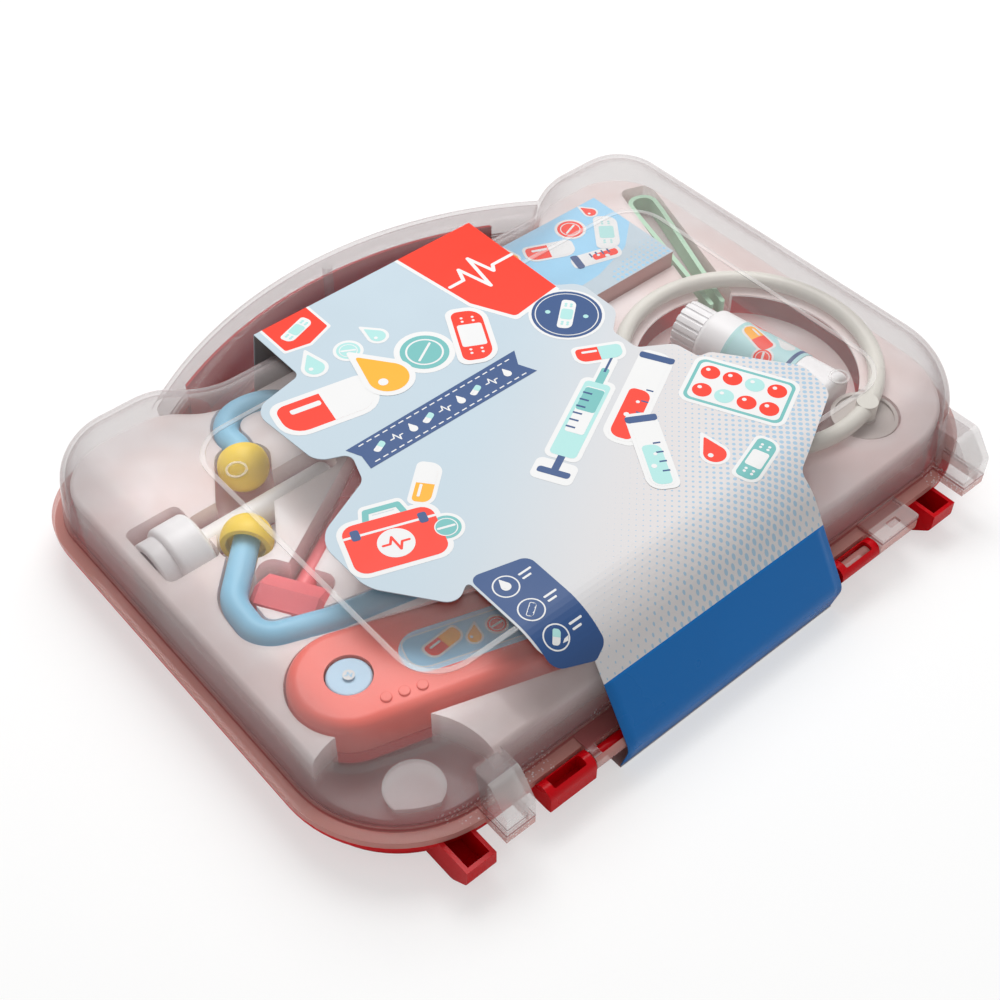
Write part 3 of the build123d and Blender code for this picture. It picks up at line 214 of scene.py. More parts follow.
def moulded_skin_group():
    """Colour drift, uneven gloss and fine orange peel of a moulded surface."""
    group = bpy.data.node_groups.new("Moulded skin", "ShaderNodeTree")
    face = group.interface
    face.new_socket("Color", in_out="INPUT", socket_type="NodeSocketColor")
    for name, default in (("Drift", 0.05), ("Roughness", 0.35), ("Peel", 1.0)):
        socket = face.new_socket(name, in_out="INPUT", socket_type="NodeSocketFloat")
        socket.default_value = default
    face.new_socket("Color", in_out="OUTPUT", socket_type="NodeSocketColor")
    face.new_socket("Roughness", in_out="OUTPUT", socket_type="NodeSocketFloat")
    face.new_socket("Height", in_out="OUTPUT", socket_type="NodeSocketFloat")
    start = group.nodes.new("NodeGroupInput").outputs
    end = group.nodes.new("NodeGroupOutput").inputs
    place = object_coordinates(group)
    broad = noise_texture(group, place, scale=28.0, detail=3.0)
    fine = noise_texture(group, place, scale=900.0)
    centred = calc(group, "SUBTRACT", broad, 0.5)
    gain = calc(group, "MULTIPLY_ADD", centred, calc(group, "MULTIPLY", start["Drift"], 4.0), 1.0)
    shade = new_node(group, "VectorMath")
    shade.operation = "SCALE"
    link(group, start["Color"], shade.inputs[0])
    link(group, gain, shade.inputs["Scale"])
    link(group, shade.outputs[0], end["Color"])
    link(group, calc(group, "MULTIPLY_ADD", centred, 0.25, start["Roughness"]), end["Roughness"])
    link(group, calc(group, "MULTIPLY", fine, start["Peel"]), end["Height"])
    return group


groups = {}


def skin(tree, shader, tint, drift, roughness, peel=1.0):
    """Places the moulded skin in a material, links its colour and gloss, and gives its height."""
    if "skin" not in groups:
        groups["skin"] = moulded_skin_group()
    node = new_node(tree, "Group")
    node.node_tree = groups["skin"]
    if isinstance(tint, bpy.types.NodeSocket):
        link(tree, tint, node.inputs["Color"])
    else:
        node.inputs["Color"].default_value = (*tint[:3], 1.0)
    preset(node, {"Drift": drift, "Roughness": roughness, "Peel": peel})
    link(tree, node.outputs["Color"], shader.inputs["Base Color"])
    link(tree, node.outputs["Roughness"], shader.inputs["Roughness"])
    return node.outputs["Height"]


def moulded(name, tint, roughness=0.32, drift=0.04, peel=1.0, gloss=0.3):
    """Opaque moulded plastic."""
    material, tree, shader = new_material(name)
    height = skin(tree, shader, tint, drift, roughness, peel)
    bump(tree, shader, height, strength=0.12, distance=0.2 * MM)
    preset(shader, {"Specular IOR Level": gloss})
    return material


def clear_plastic(name, tint, edge_tint, body, glance, sharpness, roughness, wave, denser=None,
                  facets=0.0):
    """Clear moulding: nearly open when faced, tinted and denser at a glance.

    body is the weight of the plastic when faced and glance what is added along its edges.
    denser gives a mask of the places that look thicker, and the colour they have.
    facets is how strongly broad cells add to its bump.
    """
    material, tree, shader = new_material(name)
    place = object_coordinates(tree)
    layer = new_node(tree, "LayerWeight")
    preset(layer, {"Blend": 0.5})
    facing = layer.outputs["Facing"]
    veil = calc(tree, "MULTIPLY_ADD", calc(tree, "POWER", facing, sharpness), glance, body)
    cloud = noise_texture(tree, place, scale=18.0, detail=3.0)
    veil = calc(tree, "MULTIPLY", veil, map_range(tree, cloud, 0.3, 0.7, 0.75, 1.25))
    # At a glance the colour turns to the edge tint; on the lid this slate is a painted dark reflection.
    colour_here = mix_colour(tree, calc(tree, "POWER", facing, 3.0), tint, edge_tint)
    if denser:
        mask, thick_colour = denser(tree, place)
        veil = calc(tree, "MAXIMUM", veil, mask)
        blend = map_range(tree, mask, 0.0, 0.12)
        colour_here = mix_colour(tree, blend, colour_here, thick_colour)
    link(tree, calc(tree, "MINIMUM", veil, 1.0), shader.inputs["Alpha"])
    skin(tree, shader, colour_here, 0.05, roughness)
    ripple = noise_texture(tree, place, scale=45.0)
    if facets:
        cells = new_node(tree, "TexVoronoi")
        cells.feature = "SMOOTH_F1"
        preset(cells, {"Scale": 38.0, "Smoothness": 0.25})
        link(tree, place, cells.inputs["Vector"])
        ripple = calc(tree, "MULTIPLY_ADD", cells.outputs["Distance"], facets, ripple)
    bump(tree, shader, ripple, 0.35, wave)
    preset(shader, {"Specular IOR Level": 0.1, "Coat Weight": 0.25, "Coat Roughness": 0.04})
    return material


# Places that look thicker, and places of painted shade and painted highlight, in mm: levels on the lid and
# the film, and how far each fades.
LID_TOP, WALL_TOP, FLANGE_TOP, RIM_DEPTH = 52.65, 52.4, 17.0, 112.9
STEP_FADE, FOOT_FADE, WALL_FADE = 0.3, 1.0, 6.0
ROOT_RISE, ROOT_CORE, ROOT_REACH = 1.0, 0.3, 0.8
GLINT_RISE, GLINT_FADE, GLINT_FAR, GLINT_NEAR = 1.5, 4.0, -96.0, -106.0
FILM_FLOOR, FILM_TOP = 14.0, 30.5
# Weight of the plastic at each place, and its colour there; the walls' grey and the root line's crimson are
# painted shade, the white of the bead and feet is partly painted highlight, and that of the glints wholly.
BEAD, WALL, FLANGE, FEET, ROOT_SHADE_WEIGHT, GLINT_WEIGHT = 0.30, 0.22, 0.55, 0.30, 0.75, 0.6
FILM_THIN, FILM_THICK, FILM_PATCH = 0.12, 0.62, 0.08
WALL_SHADE_TINT, FLANGE_TINT, ROOT_SHADE_TINT = (0.42, 0.35, 0.35), (0.68, 0.34, 0.30), (0.34, 0.10, 0.10)
PALE_HIGHLIGHT_TINT, FILM_WHITE, FILM_PINK = (0.86, 0.84, 0.83), (0.97, 0.95, 0.96), (0.95, 0.82, 0.80)
GLINT_SPECK_SCALE, GLINT_SPECK_SIZE = 900.0, 0.30
# The film's faint glow is painted light, standing in for the white reflections that brighten the film.
FILM_GLOW, FILM_GLOW_STRENGTH = (1.0, 0.90, 0.88, 1.0), 0.08


def lid_density(tree, place):
    """Thicker places of the lid: the bead on its top, its walls, flange and feet; with a painted shade line
    at the flange's root and white specks painted as glints on the near rim.
    """
    _, y, z = axes(tree, place)
    bead = map_range(tree, z, LID_TOP * MM, (LID_TOP + STEP_FADE) * MM, 0.0, BEAD)
    # The walls are denser plastic, and their darker grey is painted shade on the sides of the dome.
    wall = map_range(tree, z, WALL_TOP * MM, (WALL_TOP - WALL_FADE) * MM, 0.0, WALL, True)
    flange = map_range(tree, z, (FLANGE_TOP + STEP_FADE) * MM, FLANGE_TOP * MM, 0.0, FLANGE)
    feet = map_range(tree, y, -RIM_DEPTH * MM, -(RIM_DEPTH + FOOT_FADE) * MM, 0.0, FEET)
    # Painted highlight: white specks in patches on the near rim, just over the flange, stand in for glints of
    # light.
    cells = new_node(tree, "TexVoronoi")
    preset(cells, {"Scale": GLINT_SPECK_SCALE})
    link(tree, place, cells.inputs["Vector"])
    glint_speck = calc(tree, "LESS_THAN", cells.outputs["Distance"], GLINT_SPECK_SIZE)
    glint_top, glint_foot = (FLANGE_TOP + GLINT_FADE) * MM, (FLANGE_TOP + GLINT_RISE) * MM
    low = map_range(tree, z, glint_top, glint_foot, smooth=True)
    near = map_range(tree, y, GLINT_FAR * MM, GLINT_NEAR * MM, 0.0, GLINT_WEIGHT, True)
    patch = map_range(tree, noise_texture(tree, place, scale=40.0), 0.46, 0.54)
    glints = calc(
        tree, "MULTIPLY", calc(tree, "MULTIPLY", glint_speck, low), calc(tree, "MULTIPLY", near, patch)
    )
    # The bead and the feet are denser plastic, and their pale white is also painted highlight; on the glints
    # the white is wholly painted highlight.
    pale_and_glints = calc(tree, "MAXIMUM", calc(tree, "MAXIMUM", bead, feet), glints)
    # Painted shade: a dark crimson line just over the flange, standing for the base's rim in shadow under the
    # clear plastic.
    root_shade = calc(tree, "ABSOLUTE", calc(tree, "SUBTRACT", z, (FLANGE_TOP + ROOT_RISE) * MM))
    root_shade = map_range(tree, root_shade, ROOT_CORE * MM, ROOT_REACH * MM, ROOT_SHADE_WEIGHT, 0.0)
    shade = WALL_SHADE_TINT
    for mask, tint in ((flange, FLANGE_TINT), (root_shade, ROOT_SHADE_TINT)):
        shade = mix_colour(tree, map_range(tree, mask, 0.0, 0.40), shade, tint)
    tinted_and_shaded = calc(tree, "MAXIMUM", calc(tree, "MAXIMUM", wall, flange), root_shade)
    whiter = map_range(tree, calc(tree, "SUBTRACT", pale_and_glints, tinted_and_shaded), -0.05, 0.05)
    return calc(tree, "MAXIMUM", pale_and_glints, tinted_and_shaded), mix_colour(tree, whiter, shade, PALE_HIGHLIGHT_TINT)


def film_density(tree, place):
    """The film is denser towards its top, and pinker and a little clearer in soft patches."""
    clouds = noise_texture(tree, place, scale=16.0, detail=3.0, roughness=0.6)
    patch = map_range(tree, clouds, 0.35, 0.65, smooth=True)
    shade = mix_colour(tree, patch, FILM_WHITE, FILM_PINK)
    height = axes(tree, place)["Z"]
    thick = map_range(tree, height, FILM_FLOOR * MM, FILM_TOP * MM, FILM_THIN, FILM_THICK)
    return calc(tree, "SUBTRACT", thick, calc(tree, "MULTIPLY", patch, FILM_PATCH)), shade


def coated_card(name, ground, roughness=0.38, gloss=0.2):
    """Coated card: an even ink with a faint fibre under its gloss."""
    material, tree, shader = new_material(name)
    place = object_coordinates(tree)
    fibre = noise_texture(tree, place, scale=1400.0, detail=3.0, roughness=0.7)
    tint = ground(tree) if callable(ground) else ground
    skin(tree, shader, tint, 0.02, roughness)
    bump(tree, shader, fibre, strength=0.10, distance=0.1 * MM)
    preset(shader, {"Specular IOR Level": gloss})
    return material


def top_of(node):
    """Height of the top of a CAD node, in mm."""
    return (Vector(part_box(node)[1]) / MM).z


def dress(node, material):
    """Puts one material on a CAD node."""
    mesh = nodes[node].data
    mesh.materials.clear()
    mesh.materials.append(material)


# ---------------- mesh helpers
def new_piece(name, shape, body, materials, smooth=True):
    """Turns a bmesh into a finished piece that rides on a body."""
    mesh = bpy.data.meshes.new(name)
    shape.to_mesh(mesh)
    shape.free()
    for material in materials:
        mesh.materials.append(material)
    piece = bpy.data.objects.new(name, mesh)
    bpy.context.scene.collection.objects.link(piece)
    for polygon in mesh.polygons:
        polygon.use_smooth = smooth
    if body:
        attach(piece, body)
    return piece


def face_up(shape):
    """Turns each face of a flat shape to +Z."""
    for face in shape.faces:
        face.normal_update()
        if face.normal.z < 0:
            face.normal_flip()


def rounded_face(shape, corners, radius):
    """One flat face from a few corners, rounded; a radius for all or one for each."""
    points = [shape.verts.new((x, y, 0.0)) for x, y in corners]
    shape.faces.new(points)
    radii = radius if isinstance(radius, (list, tuple)) else [radius] * len(points)
    for point, size in zip(points, radii):
        if size > 0:
            bmesh.ops.bevel(
                shape, geom=[point], offset=cut_back(point, size), segments=6, profile=0.5,
                affect="VERTICES", material=-1,
            )


def cut_back(point, radius):
    """Distance along each side at which an arc of this radius starts."""
    ends = [edge.other_vert(point).co - point.co for edge in point.link_edges]
    half = ends[0].angle(ends[1]) / 2
    limit = min(end.length for end in ends) * 0.49
    return min(radius / math.tan(half), limit)


# ---------------- card sleeve
CORNER_Y = -97.5
CARD_TOP = 53.8
BULGE = Vector((-122.6, 13.0))
FOLD = Vector((-119.4, 1.0))
BEND_RADIUS = 24.0
BULGE_RADIUS = 7.0
BAND_Z = 35.0
FAR_FOLD = 79.0
FAR_SEAM = Vector((86.4, 14.2))
LEFT, RIGHT = -56.0, 46.3
SLOPE = (BULGE - Vector((CORNER_Y, CARD_TOP))).normalized()
BEND_TURN = math.acos(-SLOPE.x)
BEND_START = CORNER_Y + BEND_RADIUS * math.tan(BEND_TURN / 2)
BEND_END = BEND_START - BEND_RADIUS * BEND_TURN
BAND_LINE = (CARD_TOP - BAND_Z) / -SLOPE.y - BEND_RADIUS * math.tan(BEND_TURN / 2)
BAND_S = BEND_END - BAND_LINE
BEND_STRIP, BEND_STRIPS = 2.0, 14


def on_card(x, s, lift):
    """Point of the front panel at a distance s along the card, in metres."""
    if s > FAR_FOLD:
        along = (FAR_SEAM - Vector((FAR_FOLD, CARD_TOP))).normalized()
        y = FAR_FOLD + along.x * (s - FAR_FOLD) - along.y * lift
        z = CARD_TOP + along.y * (s - FAR_FOLD) + along.x * lift
    elif s >= BEND_START:
        y, z = s, CARD_TOP + lift
    elif s >= BEND_END:
        turn = (BEND_START - s) / BEND_RADIUS
        y = BEND_START - (BEND_RADIUS + lift) * math.sin(turn)
        z = CARD_TOP - BEND_RADIUS + (BEND_RADIUS + lift) * math.cos(turn)
    else:
        start = Vector((CORNER_Y, CARD_TOP)) + SLOPE * BEND_RADIUS * math.tan(BEND_TURN / 2)
        spot = start + SLOPE * (BEND_END - s)
        y, z = spot.x + SLOPE.y * lift, spot.y - SLOPE.x * lift
    return Vector((x, y, z)) * MM


def unrolled(y):
    """Distance along the card of a point that is seen from above at this y."""
    if y >= BEND_START:
        return y
    turn = math.asin(min((BEND_START - y) / BEND_RADIUS, math.sin(BEND_TURN)))
    return BEND_START - BEND_RADIUS * turn


def cut_across(shape, axis, cuts):
    """Cuts a flat shape into strips at distances along an axis."""
    for distance in cuts:
        bmesh.ops.bisect_plane(
            shape, geom=shape.verts[:] + shape.edges[:] + shape.faces[:], dist=1e-5,
            plane_co=axis * distance, plane_no=axis,
        )


def bend_over(shape, lift):
    """Cuts a flat shape into strips where the card bends, and lays it on the card."""
    cuts = [BEND_START - BEND_STRIP * step for step in range(BEND_STRIPS)] + [BEND_END, FAR_FOLD]
    cut_across(shape, Vector((0, 1, 0)), cuts)
    for point in shape.verts:
        point.co = on_card(point.co.x, point.co.y, lift + point.co.z)


LEFT_LOBES = (
    ((-56.0, 50.5), 3.0), ((-79.0, 46.0), 8.0), ((-76.5, 12.0), 7.0), ((-65.5, 7.0), 3.5),
    ((-70.0, -5.5), 5.0), ((-97.0, -17.0), 11.0), ((-97.0, -43.0), 13.0), ((-79.5, -66.5), 5.0),
    ((-71.4, -61.5), 2.0), ((-71.4, -98.0), 9.0), ((-56.0, -103.5), 2.0),
)
RIGHT_LOBES = (
    ((46.3, -96.0), 4.0), ((81.0, -78.0), 7.0), ((84.0, -63.0), 6.0), ((64.0, -36.0), 3.5),
    ((59.0, -35.0), 2.0), ((57.5, -24.5), 4.5), ((45.5, -17.0), 3.0), ((45.0, -5.0), 3.5),
    ((54.5, 3.0), 7.0), ((54.5, 23.0), 7.0), ((46.3, 28.5), 3.0),
)


# The sleeve's tone changes by these for each metre in X and Y; the places are on its scale.
TONE_ACROSS, TONE_ALONG = 5.2, -7.5
BLUE_END, WHITE_START = -0.15, 0.62
DOTS_START, DOTS_FULL, DOTS_END = 0.30, 0.92, 1.10
DOTS_PER_METRE, DOT_RADIUS, DOT_FADED = 430.0, 0.34, 0.35


def sleeve_ground(tree):
    """Pale blue running to off-white, with halftone dots that shrink away from the near corner."""
    inks = bpy.context.scene.toy_case_print
    place = object_coordinates(tree)
    x, y, _ = axes(tree, place)
    across = calc(tree, "MULTIPLY_ADD", x, TONE_ACROSS, 0.0)
    tone = calc(tree, "MULTIPLY_ADD", y, TONE_ALONG, across)
    whiter = map_range(tree, tone, BLUE_END, WHITE_START, smooth=True)
    ground = mix_colour(tree, whiter, inks.card_blue, inks.card_white)
    turn = new_node(tree, "Mapping")
    preset(turn, {
        "Rotation": (0.0, 0.0, math.radians(45)), "Scale": (DOTS_PER_METRE, DOTS_PER_METRE, 0.0),
    })
    link(tree, place, turn.inputs["Vector"])
    cell = new_node(tree, "VectorMath")
    cell.operation = "FRACTION"
    link(tree, turn.outputs[0], cell.inputs[0])
    centre = new_node(tree, "VectorMath")
    centre.operation = "DISTANCE"
    centre.inputs[1].default_value = (0.5, 0.5, 0.0)
    link(tree, cell.outputs[0], centre.inputs[0])
    spread = map_range(tree, tone, DOTS_START, DOTS_FULL, 0.0, DOT_RADIUS, True)
    fade = map_range(tree, tone, DOTS_FULL, DOTS_END, 1.0, DOT_FADED, True)
    size = calc(tree, "MULTIPLY", spread, fade)
    dot = calc(tree, "LESS_THAN", centre.outputs["Value"], size)
    return mix_colour(tree, dot, ground, inks.dot_blue)


INKS = ("white", "red", "navy", "teal", "mint", "amber", "sky", "band_blue", "card_blue")
# Each shape lies 1 / LAP_SHARE of an ink step over the last, starting again after LAPS of them.
LAPS, LAP_SHARE = 16, 20


def ink_materials():
    """One coated-card material for each ink, made once."""
    if "inks" not in groups:
        settings = bpy.context.scene.toy_case_print
        groups["inks"] = [
            coated_card(f"Ink {name}".replace("_", " "), getattr(settings, name)) for name in INKS
        ]
    return groups["inks"]


class Print:
    """Flat printed shapes, gathered in one mesh and laid on a surface."""

    def __init__(self, lay):
        self.shape = bmesh.new()
        self.lay = lay
        self.laid = 0

    def add(self, shape, layer, ink, place=(0, 0), turn=0):
        step = bpy.context.scene.toy_case_print.ink_step / MM
        move = Matrix.Translation((*place, 0)) @ Matrix.Rotation(math.radians(turn), 4, "Z")
        bmesh.ops.transform(shape, matrix=move, verts=shape.verts)
        for face in shape.faces:
            face.material_index = INKS.index(ink)
        face_up(shape)
        self.laid += 1
        self.lay(shape, layer * step + self.laid % LAPS * step / LAP_SHARE)
        flat = bpy.data.meshes.new("print shape")
        shape.to_mesh(flat)
        shape.free()
        self.shape.from_mesh(flat)
        bpy.data.meshes.remove(flat)

    def polygon(self, corners, radius, ink, layer, **where):
        shape = bmesh.new()
        rounded_face(shape, corners, radius)
        self.add(shape, layer, ink, **where)

    def box(self, wide, high, radius, ink, layer, at=(0, 0), **where):
        ends = ((-0.5, -0.5), (0.5, -0.5), (0.5, 0.5), (-0.5, 0.5))
        corners = [(at[0] + wide * x, at[1] + high * y) for x, y in ends]
        self.polygon(corners, radius, ink, layer, **where)

    def disc(self, radius, ink, layer, at=(0, 0), **where):
        shape = bmesh.new()
        middle = Matrix.Translation((*at, 0))
        bmesh.ops.create_circle(shape, cap_ends=True, segments=36, radius=radius, matrix=middle)
        self.add(shape, layer, ink, **where)

    def stroke(self, points, width, ink, layer, **where):
        for (ax, ay), (bx, by) in zip(points, points[1:]):
            run = Vector((bx - ax, by - ay))
            side = Vector((-run.y, run.x)).normalized() * (width / 2)
            corners = [
                (ax + side.x, ay + side.y), (ax - side.x, ay - side.y),
                (bx - side.x, by - side.y), (bx + side.x, by + side.y),
            ]
            self.polygon(corners, 0, ink, layer, **where)
        for point in points:
            self.disc(width / 2, ink, layer, at=point, **where)


def outlined(page, draw, layer, edge=0.0, **where):
    """Draws a shape twice: a white one grown by an edge, then its ink."""
    draw(page, edge, "white", layer, **where)
    draw(page, 0.0, None, layer + 1, **where)


def capsule(page, grow, ink, layer, wide, high, first="red", second="white", **where):
    page.box(wide + 2 * grow, high + 2 * grow, high / 2 + grow, ink or first, layer, **where)
    if ink is None:
        corners = [(0, -high / 2), (wide / 2, -high / 2), (wide / 2, high / 2), (0, high / 2)]
        page.polygon(corners, [0, high / 2, high / 2, 0], second, layer + 1, **where)
        gleam = (-wide * 0.2, high * 0.2)
        page.box(wide * 0.34, high * 0.16, high * 0.07, "white", layer + 2, at=gleam, **where)


def plaster(page, grow, ink, layer, wide, high, first="amber", pad="white", **where):
    page.box(wide + 2 * grow, high + 2 * grow, high / 2 + grow, ink or first, layer, **where)
    if ink is None:
        page.box(high * 1.05, high * 0.8, 1.0, pad, layer + 1, **where)
        for x in (-0.36, 0.36):
            for row in (-0.18, 0.18):
                for share in (1, 0.8):
                    at = (wide * x * share, high * row)
                    page.disc(0.55, pad, layer + 1, at=at, **where)


def drop(page, grow, ink, layer, radius, first="teal", **where):
    reach = radius + grow
    shoulder = reach * 0.9
    page.disc(reach, ink or first, layer, **where)
    peak = [(-shoulder, reach * 0.42), (shoulder, reach * 0.42), (0, reach * 2.2)]
    page.polygon(peak, [0, 0, reach * 0.12], ink or first, layer, **where)
    if ink is None:
        page.disc(radius * 0.24, "white", layer + 1, at=(-radius * 0.42, -radius * 0.05), **where)


def tablet(page, grow, ink, layer, radius, first="red", **where):
    page.disc(radius + grow, ink or first, layer, **where)
    if ink is None:
        page.disc(radius * 0.78, "white", layer + 1, **where)
        page.disc(radius * 0.70, first, layer + 2, **where)
        page.stroke([(-radius * 0.55, 0), (radius * 0.55, 0)], 0.9, "white", layer + 3, **where)


def test_tube(page, grow, ink, layer, wide, high, first="mint", **where):
    page.box(wide + 2 * grow, high + 2 * grow, wide / 2 + grow, ink or "white", layer, **where)
    if ink is None:
        page.box(wide + 3.0, 3.2, 1.4, "navy", layer + 1, at=(0, high / 2 - 1.6), **where)
        page.box(wide - 1.8, high * 0.55, wide / 2 - 0.9, first, layer + 1, at=(0, -high * 0.2), **where)
        for row in range(4):
            mark = (wide * 0.28, -high * 0.3 + row * high * 0.13)
            page.box(2.6, 0.7, 0, "navy", layer + 2, at=mark, **where)
        page.disc(1.0, "white", layer + 2, at=(-1.2, -high * 0.22), **where)
        page.disc(0.7, "white", layer + 2, at=(0.6, -high * 0.06), **where)


def scatter(page, motifs):
    """Draws a row of motifs, each from its shape, layer, edge, place, turn and look."""
    for draw, layer, edge, place, turn, look in motifs:
        outlined(page, draw, layer, edge=edge, place=place, turn=turn, **look)


def small_capsule(page, layer, **where):
    """White and mint capsule, for the rows of small signs."""
    outlined(page, capsule, layer, wide=5.4, first="white", second="mint", **where)


def lay_flat(place, angle, height):
    """Lays shapes on a level face, from a place and an angle in plan."""
    move = Matrix.Translation((*place, height)) @ Matrix.Rotation(math.radians(angle), 4, "Z")

    def lay(shape, lift):
        bmesh.ops.transform(shape, matrix=move, verts=shape.verts)
        for point in shape.verts:
            point.co = (point.co + Vector((0, 0, lift))) * MM

    return lay


ROUND_STRIP, ROUND_STRIPS = 1.5, 12


def lay_round(place, angle, radius):
    """Lays shapes round a lying cylinder: X goes round it from its top and Y along it."""
    along = Vector((math.cos(math.radians(angle)), math.sin(math.radians(angle)), 0))
    side = Vector((along.y, -along.x, 0))

    def lay(shape, lift):
        steps = range(-ROUND_STRIPS, ROUND_STRIPS + 1)
        cut_across(shape, Vector((1, 0, 0)), [ROUND_STRIP * step for step in steps])
        for point in shape.verts:
            turn = point.co.x / radius
            out = side * math.sin(turn) + Vector((0, 0, math.cos(turn)))
            point.co = (Vector(place) + along * point.co.y + out * (radius + lift)) * MM

    return lay


class TOYCASE_OT_sleeve(bpy.types.Operator):
    """Makes the folded card sleeve: front panel, bending side and the back"""

    bl_idname = "toycase.sleeve"
    bl_label = "Card sleeve"

    def execute(self, context):
        settings = context.scene.toy_case_print
        ground = coated_card("Sleeve card", sleeve_ground)
        inside = coated_card("Sleeve card inside", settings.card_inside, 0.6)
        seam = FAR_FOLD + (FAR_SEAM - Vector((FAR_FOLD, CARD_TOP))).length
        outline = [((LEFT, seam), 0.0)]
        outline += [((x, unrolled(y)), r) for (x, y), r in LEFT_LOBES]
        outline += [((LEFT, BAND_S), 0.0), ((RIGHT, BAND_S), 0.0)]
        outline += [((x, unrolled(y)), r) for (x, y), r in RIGHT_LOBES]
        outline += [((RIGHT, seam), 0.0)]
        shape = bmesh.new()
        rounded_face(shape, [p[0] for p in outline], [p[1] for p in outline])
        face_up(shape)
        bend_over(shape, 0.0)
        front = new_piece("card_front", shape, "lid", [ground, inside], smooth=False)
        self.thicken(front, settings.card_thickness)
        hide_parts("sleeve_front")

        blue = coated_card("Sleeve band", settings.band_blue, 0.30)
        side = bmesh.new()
        bmesh.ops.create_grid(side, x_segments=24, y_segments=30, size=1.0)
        turn = BULGE_RADIUS
        down = (FOLD - BULGE).normalized()
        bend = SLOPE.angle(down)
        cut = turn * math.tan(bend / 2)
        top = Vector((CORNER_Y, CARD_TOP)) + SLOPE * ((CARD_TOP - BAND_Z) / -SLOPE.y)
        first = (BULGE - top).length - cut
        arc = turn * bend
        last = (FOLD - BULGE).length - cut
        inward = Vector((-SLOPE.y, SLOPE.x))
        for point in side.verts:
            s = (1 - point.co.y) / 2 * (first + arc + last)
            if s < first:
                spot = top + SLOPE * s
            elif s < first + arc:
                angle = (s - first) / turn
                middle = top + SLOPE * first + inward * turn
                spot = middle - inward * turn * math.cos(angle) + SLOPE * turn * math.sin(angle)
            else:
                spot = BULGE + down * (cut + s - first - arc)
            x = LEFT + (point.co.x + 1) / 2 * (RIGHT - LEFT)
            point.co = Vector((x, spot.x, spot.y)) * MM
        bmesh.ops.recalc_face_normals(side, faces=side.faces)
        if side.faces[:][0].normal.y > 0:
            bmesh.ops.reverse_faces(side, faces=side.faces)
        panel = new_piece("card_side", side, None, [blue, inside])
        self.thicken(panel, settings.card_thickness)
        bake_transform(panel)
        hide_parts("sleeve_side")
        dress("sleeve_back", coated_card("Sleeve back card", settings.card_white))
        return {"FINISHED"}

    def thicken(self, piece, thickness):
        wall = piece.modifiers.new("Card thickness", "SOLIDIFY")
        wall.thickness = thickness
        wall.offset = -1.0
        wall.material_offset = 1
        wall.material_offset_rim = 0


